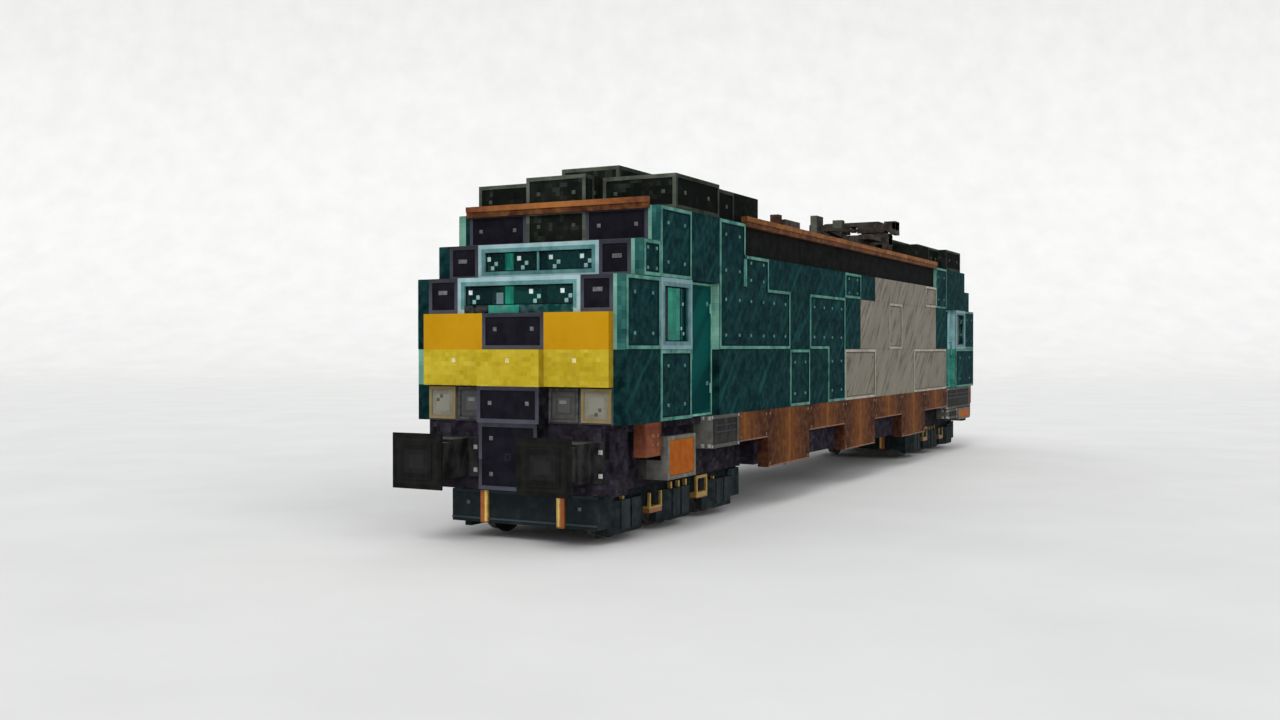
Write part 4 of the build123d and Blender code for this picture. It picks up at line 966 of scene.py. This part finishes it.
@piece("skirt_brown", "bolt_copper", SIDES, SKIRTS)
def skirt_strips(bm, side, first, last, depth):
    """A raised lip along the foot of each skirt and drain plugs under the deep ones."""
    foot = SOLE - depth
    corner = (station(first) + 0.012, foot + 0.002)
    plate(bm, on_side(side), corner, (station(last) - 0.012, foot + 0.022), 0.006)
    if depth == DEEP:
        x, y = side * (HALF - 0.08), station((first + last) / 2)
        tube(bm, (x, y, foot - 0.03), (x, y, foot + 0.01), 0.03, 12)


# Boxes beside the bogies, columns: first bay, last bay, top and bottom below the sole
CABINETS = [(2.84, 3.9, 0.0, 0.437), (17.3, 19.7, 0.0, 0.47), (17.4, 18.3, 0.48, 0.69)]
BOARDS = [(1.29, 2.2, 0.187, 0.725), (18.35, 19.6, 0.48, 0.74)]


def face_of(first, last, top, bottom, margin):
    """Two opposite corners of a box's face, moved inwards by a margin."""
    return (station(first) + margin, SOLE - bottom + margin), (station(last) - margin, SOLE - top - margin)


@piece("box_grey", "bolt_bright", SIDES, CABINETS)
def box_bolts(bm, side, first, last, top, bottom):
    four_bolts(bm, on_side(side), *face_of(first, last, top, bottom, BAR / 2), 0.034, 0.007)
    corner = (side * (INNER + 0.035), SOLE - top - 0.035)
    opposite = (side * (HALF - 0.03), SOLE - bottom + 0.035)
    for bays, way in ((first, -1), (last, 1)):
        four_bolts(bm, ("y", station(bays), way), corner, opposite, 0.05)


@piece("box_grey", "bolt_dark", SIDES, CABINETS[:2], [(0.15, 0.022), (0.24, 0.03)])
def cabinet_bands(bm, side, first, last, top, bottom, below, height):
    """Two bands across each tall cabinet."""
    z = SOLE - top - below
    corner, opposite = (station(first) + 0.1, z), (station(last) - 0.1, z + height)
    plate(bm, on_side(side, HALF - RELIEF), corner, opposite, RELIEF)


@piece("box_grey", "plate_orange", SIDES, BOARDS)
def blank_plates(bm, side, *board):
    """Blank orange plates in the housings, just inside their frames."""
    plate(bm, on_side(side, BOARD_FACE - RELIEF), *face_of(*board, BAR + 0.002), 0.008)


# Lamps, columns: which lamp, distance of the mark across and up from its middle
LAMP_MARKS = [(-1, -0.07, 0.035), (-1, -0.02, 0.08), (1, 0.0, -0.1), (1, 0.05, -0.045)]
LAMP_LIGHTS = [(-1, 0.0, 0.045), (1, -0.01, 0.035)]
LAMP_BACK = LAMP_ROW_BACK - 0.013


@piece("headlamp_cream", "lamp_mark", ENDS, LAMP_MARKS)
def lamp_marks(bm, end, side, across, up):
    """The small dark squares in the cream lamps."""
    bolt(bm, on_end(end, LAMP_BACK), side * CREAM_LAMP_X + across, LAMP_Z + up, 0.04, 0.006)


@piece("marker_grey", "lamp_light", ENDS, LAMP_LIGHTS)
def lamp_lights(bm, end, side, across, up):
    """A pale bar in the middle of each grey lamp."""
    x, z = side * GREY_LAMP_X + across, LAMP_Z + up
    plate(bm, on_end(end, LAMP_BACK), (x - 0.05, z - 0.022), (x + 0.05, z + 0.022), 0.006)


# Windows
# The outer face of the glass, behind the face of an end and as a distance from the middle
PANE_BACK = 0.043
GLASS_X = HALF - 0.043
# Columns: row of the screen's middle, how far the glass is behind the nose, where the glints start
SCREENS = [
    (3.5, LAMP_ROW_BACK + PANE_BACK, [-0.715, 0.17, 0.61]),
    (4.5, LAMP_ROW_BACK + STEP + PANE_BACK, [-0.745, -0.29, 0.176, 0.62]),
]
GLINT_UP = 0.04
# Columns: distance across and up from the start of a glint
AQUA_GLINTS = [(0.11, -0.06), (0.055, -0.115)]
# Columns: bay, row
SIDE_GLINTS = [(1.275, 3.5), (1.31, 3.38), (1.29, 2.75), (1.95, 3.3), (1.9, 2.6), (1.97, 2.45)]


@piece("window_frame", "glint", ENDS, SCREENS)
def glass_glints(bm, end, rows, behind, starts):
    """Small pale squares on the screens, as painted glints of light on the glass."""
    for start in starts:
        bolt(bm, on_end(end, behind), start, level(rows) + GLINT_UP, 0.055, 0.003)


@piece("window_frame", "glint_aqua", ENDS)
def glass_glints_small(bm, end):
    """Smaller squares below the pale ones, and those of the side windows, all painted glints."""
    for rows, behind, starts in SCREENS:
        for start, (across, up) in product(starts, AQUA_GLINTS):
            bolt(bm, on_end(end, behind), start + across, level(rows) + GLINT_UP + up, 0.05, 0.003)
    for side, (bays, rows) in product(SIDES, SIDE_GLINTS):
        bolt(bm, on_side(side, GLASS_X), end * back(bays), level(rows), 0.04, 0.003)


@piece("window_frame", "rubber", ENDS)
def window_seals(bm, end):
    """Dark rubber round each pane, in front of the glass."""
    for rows, behind, starts in SCREENS:
        z = level(rows)
        border(bm, on_end(end, behind), (-PANE, z - PANE_UP), (PANE, z + PANE_UP), 0.014, 0.013)
    y, z = end * back(WINDOW), level(3)
    for side in SIDES:
        corner, opposite = (y - SIDE_PANE, z - SIDE_PANE), (y + SIDE_PANE, z + SIDE_PANE)
        border(bm, on_side(side, GLASS_X), corner, opposite, 0.014, 0.015)


# Inside of the cabs
WALL_BACK = 3.3125 * BAY
WALL_LOW = level(0.4)
WALL_HIGH = level(5.6)
BLIND_LOW = level(2) + 0.06
BLIND_HIGH = level(4) - 0.06
# Upright strips on the wall behind the driver, columns: inner x, outer x, how far they stand out
DUCTS = [(0.652, 0.709, 0.03), (0.709, 0.775, 0.06), (0.775, 0.836, 0.03), (0.865, 0.885, 0.02)]


@piece("frame_green", "frame_green", ENDS, [(0.12, 2.6, 0.78, 4.3), (-0.9, 3.2, -0.5, 4.4)])
def bulkhead_frames(bm, end, left, low, right, high):
    """Pale frames on the wall behind each driver, seen through the screens."""
    border(bm, on_end(end, WALL_BACK), (left, level(low)), (right, level(high)), 0.045, RELIEF)


@piece("cab_lining", "cab_mint", ENDS)
def cab_ducts(bm, end):
    """Ducts on the wall behind the driver and a post behind each side window."""
    for inner, outer, proud in DUCTS:
        plate(bm, on_end(end, WALL_BACK), (inner, WALL_LOW), (outer, WALL_HIGH), proud, 0.004)
    for side in SIDES:
        corner = (side * 1.2, end * back(2.02), SOLE + 0.001)
        block(bm, corner, (side * 1.3, end * back(2.11), SOLE + 2.5), 0.012)


@piece("cab_lining", "rubber", ENDS)
def cab_shade_blinds(bm, end):
    """Dark blinds in front of most of each left side window, which stand for shade inside the cab, and a
    locker behind the driver.
    """
    # Painted shade: the dark sheet stands for the shade inside the cab
    block(bm, (-1.318, end * back(1.18), BLIND_LOW), (-1.306, end * back(1.7), BLIND_HIGH), 0.003)
    plate(bm, on_end(end, WALL_BACK), (0.5, WALL_LOW), (0.648, WALL_HIGH), 0.05, 0.004)


@piece("cab_lining", "blind")
def pale_blind(bm):
    """A drawn blind behind the right side window of the rear cab."""
    y, reach = back(WINDOW), SIDE_PANE + 0.02
    block(bm, (1.306, y - reach, BLIND_LOW), (1.318, y + reach, BLIND_HIGH), 0.003)


@piece("cab_lining", "rubber", ENDS)
def desk_fittings(bm, end):
    """Instrument screens and a row of small knobs on each desk."""
    for x in (-0.8, -0.32, 0.32, 0.8):
        plate(bm, on_end(end, 0.429), (x - 0.16, SOLE + 1.01), (x + 0.16, SOLE + 1.13), 0.01)
    for side, n in product(SIDES, range(4)):
        x, y = side * (0.55 + 0.09 * n), end * back(0.64)
        tube(bm, (x, y, SOLE + 1.02), (x, y, SOLE + 1.085), 0.016, 12)


# Doors
DOOR_FACE = INNER + 0.055
DOOR_FREE = back(DOOR_FRONT) - 0.036
DOOR_HINGED = back(DOOR_REAR) + SEAM
DOOR_TOP = level(4) - SEAM
DOOR_FOOT = SOLE + SEAM


def door_handles(bm, end, side):
    """An upright grip on stubs, and two pale studs near the hinges."""
    y, root, grip = end * (DOOR_FREE - 0.1), side * (DOOR_FACE - 0.015), side * (DOOR_FACE + 0.05)
    for z in (SOLE + 0.76, SOLE + 1.02):
        tube(bm, (root, y, z), (grip, y, z), 0.012, 12)
    tube(bm, (grip, y, SOLE + 0.74), (grip, y, SOLE + 1.04), 0.016, 12)
    for z in (1.894, 2.95):
        bolt(bm, on_side(side, DOOR_FACE - 0.01), end * (DOOR_HINGED + 0.13), z, 0.055, 0.012)


def door_trim(bm, end, side):
    """Mint strips along the top, the foot and the hinged edge."""
    plane = on_side(side, DOOR_FACE)
    free, hinged = end * DOOR_FREE, end * DOOR_HINGED
    post, pad = hinged + end * 0.03, hinged + end * 0.07
    plate(bm, plane, (free, DOOR_TOP - 0.03), (hinged, DOOR_TOP), 0.006)
    plate(bm, plane, (free, DOOR_FOOT), (hinged, DOOR_FOOT + 0.03), 0.006)
    plate(bm, plane, (post, DOOR_FOOT + 0.03), (hinged, DOOR_TOP - 0.03), 0.006)
    for z in (1.83, 2.89):
        plate(bm, plane, (pad, z - 0.065), (post, z + 0.065), 0.009)
    # Inside, round the leaf and clear of the hinge
    corner, opposite = (free - end * 0.01, DOOR_FOOT + 0.01), (hinged + end * 0.06, DOOR_TOP - 0.005)
    border(bm, ("x", side * INNER, -side), corner, opposite, 0.045, 0.006)


for (end_name, end), (side_name, side) in product((("front", -1), ("rear", 1)), (("left", -1), ("right", 1))):
    door = f"{end_name}_door_{side_name}"
    piece("door_green", "bolt_pale", [end], [side], body=door, name=f"{door}_handles")(door_handles)
    piece("door_green", "trim_mint", [end], [side], body=door, name=f"{door}_trim")(door_trim)


# Roof
UP = (0, 0, 1)


@piece("roof_olive", "collector_grey")
def roof_fittings(bm):
    """Handles and bolts on the hatches, bars over the grille and lifting eyes."""
    for y in (station(6.2), station(7.9)):
        for x, along in product((-0.52, 0.52), (-0.47, 0.47)):
            stud(bm, (x, y + along, ROOF_TOP + 0.015), UP)
        for x in (-0.25, 0.25):
            z = ROOF_TOP + 0.055
            tube(bm, (x, y - 0.1, z), (x, y + 0.1, z), 0.012, 10)
            for along in (-0.09, 0.09):
                tube(bm, (x, y + along, ROOF_TOP + 0.01), (x, y + along, z), 0.01, 8)
    y = station(9.1)
    for x in (-0.48, -0.24, 0.0, 0.24, 0.48):
        block(bm, (x - 0.01, y - 0.48, ROOF_TOP - 0.002), (x + 0.01, y + 0.48, ROOF_TOP + 0.012), 0.003)
    for y, x in product((station(5.4), station(15.0)), (-0.765, 0.765)):
        tube(bm, (x, y, ROOF_TOP - 0.005), (x, y, ROOF_TOP + 0.035), 0.03, 12)


# Columns: inner x, outer x, first bay, last bay, height above the raised deck
ROOF_BOXES = [
    (-0.09, 0.07, 9.7, 9.9, 0.45), (0.0, 0.14, 9.9, 10.75, 0.374),
    (-0.68, -0.54, 13.97, 14.43, 0.814), (-0.32, -0.12, 14.39, 14.61, 0.734),
]


@piece("box_grey", "collector_grey", ROOF_BOXES)
def roof_box_bands(bm, left, right, first, last, height):
    """Flanges with bolts at the foot of each roof box, and louvres near the top of the tall ones."""
    front, rear = station(first), station(last)
    for x, y in product((left - 0.03, right + 0.03), (front - 0.03, rear + 0.03)):
        stud(bm, (x, y, ROOF_TOP + 0.012), UP, 0.03)
    corner = (left - 0.05, front - 0.05, ROOF_TOP)
    block(bm, corner, (right + 0.05, rear + 0.05, ROOF_TOP + 0.012), 0.003)
    for n in range(4 if height > 0.7 else 0):
        z = ROOF_TOP + height - 0.09 - 0.05 * n
        block(bm, (left - 0.006, front + 0.03, z), (right + 0.006, rear - 0.03, z + 0.014), 0.002)


# Collector
PIVOT_Y = station(14.9)
MAST_Y = PIVOT_Y - 1.76
STRIP_TOP = ROOF_TOP + 0.69
HEAD_HALF = 0.149


@piece("box_grey", "collector_grey")
def roof_conduit(bm):
    """A cable pipe in clamps from the low box to the collector's frame."""
    x, z = 0.07, ROOF_TOP + 0.05
    start, end = station(10.75), MAST_Y - 0.1
    tube(bm, (x, start, z), (x, end, z), 0.024)
    for n in range(3):
        y = start + (end - start) * (n + 0.5) / 3
        block(bm, (x - 0.04, y - 0.02, ROOF_TOP), (x + 0.04, y + 0.02, ROOF_TOP + 0.082), 0.006)


@piece("collector_grey", "glaze", (-0.42, 0.42), (PIVOT_Y, MAST_Y), range(4))
def insulator_ribs(bm, x, y, n):
    z = ROOF_TOP + 0.016 + 0.028 * n
    tube(bm, (x, y, z), (x, y, z + 0.012), 0.088, 24, 0.078)


@piece("collector_grey", "bolt_dark", SIDES)
def spring_bands(bm, side):
    """Bands round the spring cans, and bolts on the posts under the head's ends."""
    x, z = side * 0.25, ROOF_TOP + 0.37
    for y in (PIVOT_Y - 0.11, PIVOT_Y + 0.11):
        tube(bm, (x, y - 0.012, z), (x, y + 0.012, z), 0.082, 24)
    low, high = ROOF_TOP + 0.05, ROOF_TOP + 0.36
    four_bolts(bm, on_side(side, 0.8), (PIVOT_Y - 0.11, low), (PIVOT_Y + 0.11, high), 0.034)
    four_bolts(bm, ("y", PIVOT_Y - 0.15, -1), (side * 0.69, low), (side * 0.77, high), 0.03)


@piece("collector_grey", "rubber", (PIVOT_Y - 0.12, PIVOT_Y + 0.12), body="collector_head")
def contact_strips(bm, y):
    block(bm, (-0.59, y - 0.022, STRIP_TOP - 0.002), (0.59, y + 0.022, STRIP_TOP + 0.006), 0.003)


@piece("collector_grey", "collector_grey", SIDES, body="collector_head")
def horn_ends(bm, side):
    """Upright end plates, flat caps over the horns, and hanging plates between horns and arm."""
    front, rear = PIVOT_Y - HEAD_HALF, PIVOT_Y + HEAD_HALF
    for inner, low, high in ((0.865, 0.27, 0.02), (0.7, 0.19, 0.0)):
        corner = (side * inner, front, STRIP_TOP - low)
        block(bm, corner, (side * 0.949, rear, STRIP_TOP - high), 0.008)
    for y in (front, rear - 0.02):
        corner = (side * 0.12, y, STRIP_TOP - 0.231)
        block(bm, corner, (side * 0.71, y + 0.02, STRIP_TOP - 0.04), 0.004)


@piece("collector_grey", "collector_grey", SIDES)
def gear_covers(bm, side):
    """Covers beside the spring cans, below the lowered head."""
    front, rear = PIVOT_Y - 0.14, PIVOT_Y + 0.14
    left, right = sorted((side * 0.14, side * 0.8))
    block(bm, (left, front, ROOF_TOP + 0.2), (right, rear, ROOF_TOP + 0.442), 0.012)
    for z in (ROOF_TOP + 0.26, ROOF_TOP + 0.33):
        block(bm, (left + 0.03, front - 0.006, z), (right - 0.03, front + 0.004, z + 0.02), 0.002)
    corner = (left + 0.02, PIVOT_Y - 1.2, ROOF_TOP + 0.231)
    block(bm, corner, (right - 0.05, PIVOT_Y - 0.5, ROOF_TOP + 0.33), 0.012)


@piece("roof_olive", "bolt_olive", ENDS)
def hood_bolts(bm, end):
    """Grey green bolts on the panels of the cab roofs."""
    hood_back = LAMP_ROW_BACK + 2 * STEP
    for rows, x in product((5.55, 6.5), (-0.26, 0.26)):
        bolt(bm, on_end(end, hood_back + RELIEF), x, level(rows))
    for x in (-1.3, -0.62, 0.62, 1.3):
        bolt(bm, on_end(end, hood_back + STEP + RELIEF), x, level(6.5))
    for side in SIDES:
        bolt(bm, on_side(side, NOSE_BLOCK), end * (NOSE - hood_back - STEP / 2), level(6.5))
        for face, bays in ((HALF, 1.95), (HALF, 2.75), (INNER, 3.4), (INNER, 3.85)):
            bolt(bm, on_side(side, face - RELIEF), end * back(bays), level(6.5))


# Bogies
SPRING_X = 1.035


def bogie_springs(bm, end):
    """Pairs of coils standing on the feet of the hangers."""
    for side, (way, foot), along in product(SIDES, ((end, 0.355), (-end, 0.395)), (-0.07, 0.07)):
        coil(bm, (side * SPRING_X, end * back(2.65) + way * 0.7 + along, foot), 0.175, 0.022, 0.007, 6)


def pilot_bolts(bm, end):
    for x in (-0.8, 0.8):
        bolt(bm, on_end(end, PILOT_BACK), x, 0.45, 0.045, 0.012)


for bogie, end in (("front_bogie", -1), ("rear_bogie", 1)):
    piece("bogie_green", "bolt_dark", [end], body=bogie, name=f"{bogie}_springs")(bogie_springs)
    piece("bogie_green", "bolt_grey", [end], body=bogie, name=f"{bogie}_pilot_bolts")(pilot_bolts)


# Floor, light and camera
# The floor is level between its two ends, then bends up by a radius and goes on as a wall
FLOOR_NEAR = -90.0
FLOOR_FAR = 70.0
FLOOR_SIDE = 140.0
BEND = 40.0
BEND_STEPS = 16
WALL_TOP = 90.0


def backdrop(bm):
    """A pale floor that curves up far behind the locomotive."""
    profile = [(FLOOR_NEAR, 0.0), (FLOOR_FAR, 0.0)]
    for n in range(1, BEND_STEPS + 1):
        angle = radians(90 * n / BEND_STEPS)
        profile.append((FLOOR_FAR + BEND * sin(angle), BEND * (1 - cos(angle))))
    profile.append((FLOOR_FAR + BEND, WALL_TOP))
    left, right = [[bm.verts.new((x, y, z)) for y, z in profile] for x in (-FLOOR_SIDE, FLOOR_SIDE)]
    for k in range(len(profile) - 1):
        bm.faces.new((left[k], right[k], right[k + 1], left[k + 1]))


# The camera's direction from above, which the floor shares
TURN = radians(27.663)
floor = drawn("backdrop", "floor_paint", backdrop)
floor.data.polygons.foreach_set("use_smooth", [True] * len(floor.data.polygons))
floor.rotation_euler.z = TURN

world = bpy.data.worlds.new("studio")
world.use_nodes = True
world.node_tree.nodes["Background"].inputs["Color"].default_value = (0.96, 0.98, 1.0, 1.0)
world.node_tree.nodes["Background"].inputs["Strength"].default_value = 0.66
bpy.context.scene.world = world


def sun(name, strength, angle, rotation):
    data = bpy.data.lights.new(name, "SUN")
    data.energy = strength
    data.angle = radians(angle)
    lamp = bpy.data.objects.new(name, data)
    lamp.rotation_euler = [radians(a) for a in rotation]
    bpy.context.scene.collection.objects.link(lamp)


sun("key", 1.2, 25, (48, 0, 12))
sun("fill", 0.6, 40, (62, 0, 75))

# Focal length and picture width in pixels, sensor width in millimetres, tilt below level in degrees
FOCAL_LENGTH = 1242.59
PICTURE_WIDTH = 1280
SENSOR_WIDTH = 36.0
TILT = 0.5416
FAR_CLIP = 500.0

data = bpy.data.cameras.new("camera")
data.sensor_width = SENSOR_WIDTH
data.lens = SENSOR_WIDTH * FOCAL_LENGTH / PICTURE_WIDTH
data.clip_end = FAR_CLIP
camera = bpy.data.objects.new("camera", data)
camera.location = (8.2719, -21.3937, 2.3607)
camera.rotation_euler = (radians(90 - TILT), 0.0, TURN)
bpy.context.scene.collection.objects.link(camera)
bpy.context.scene.camera = camera
bpy.context.scene.view_settings.view_transform = "Standard"
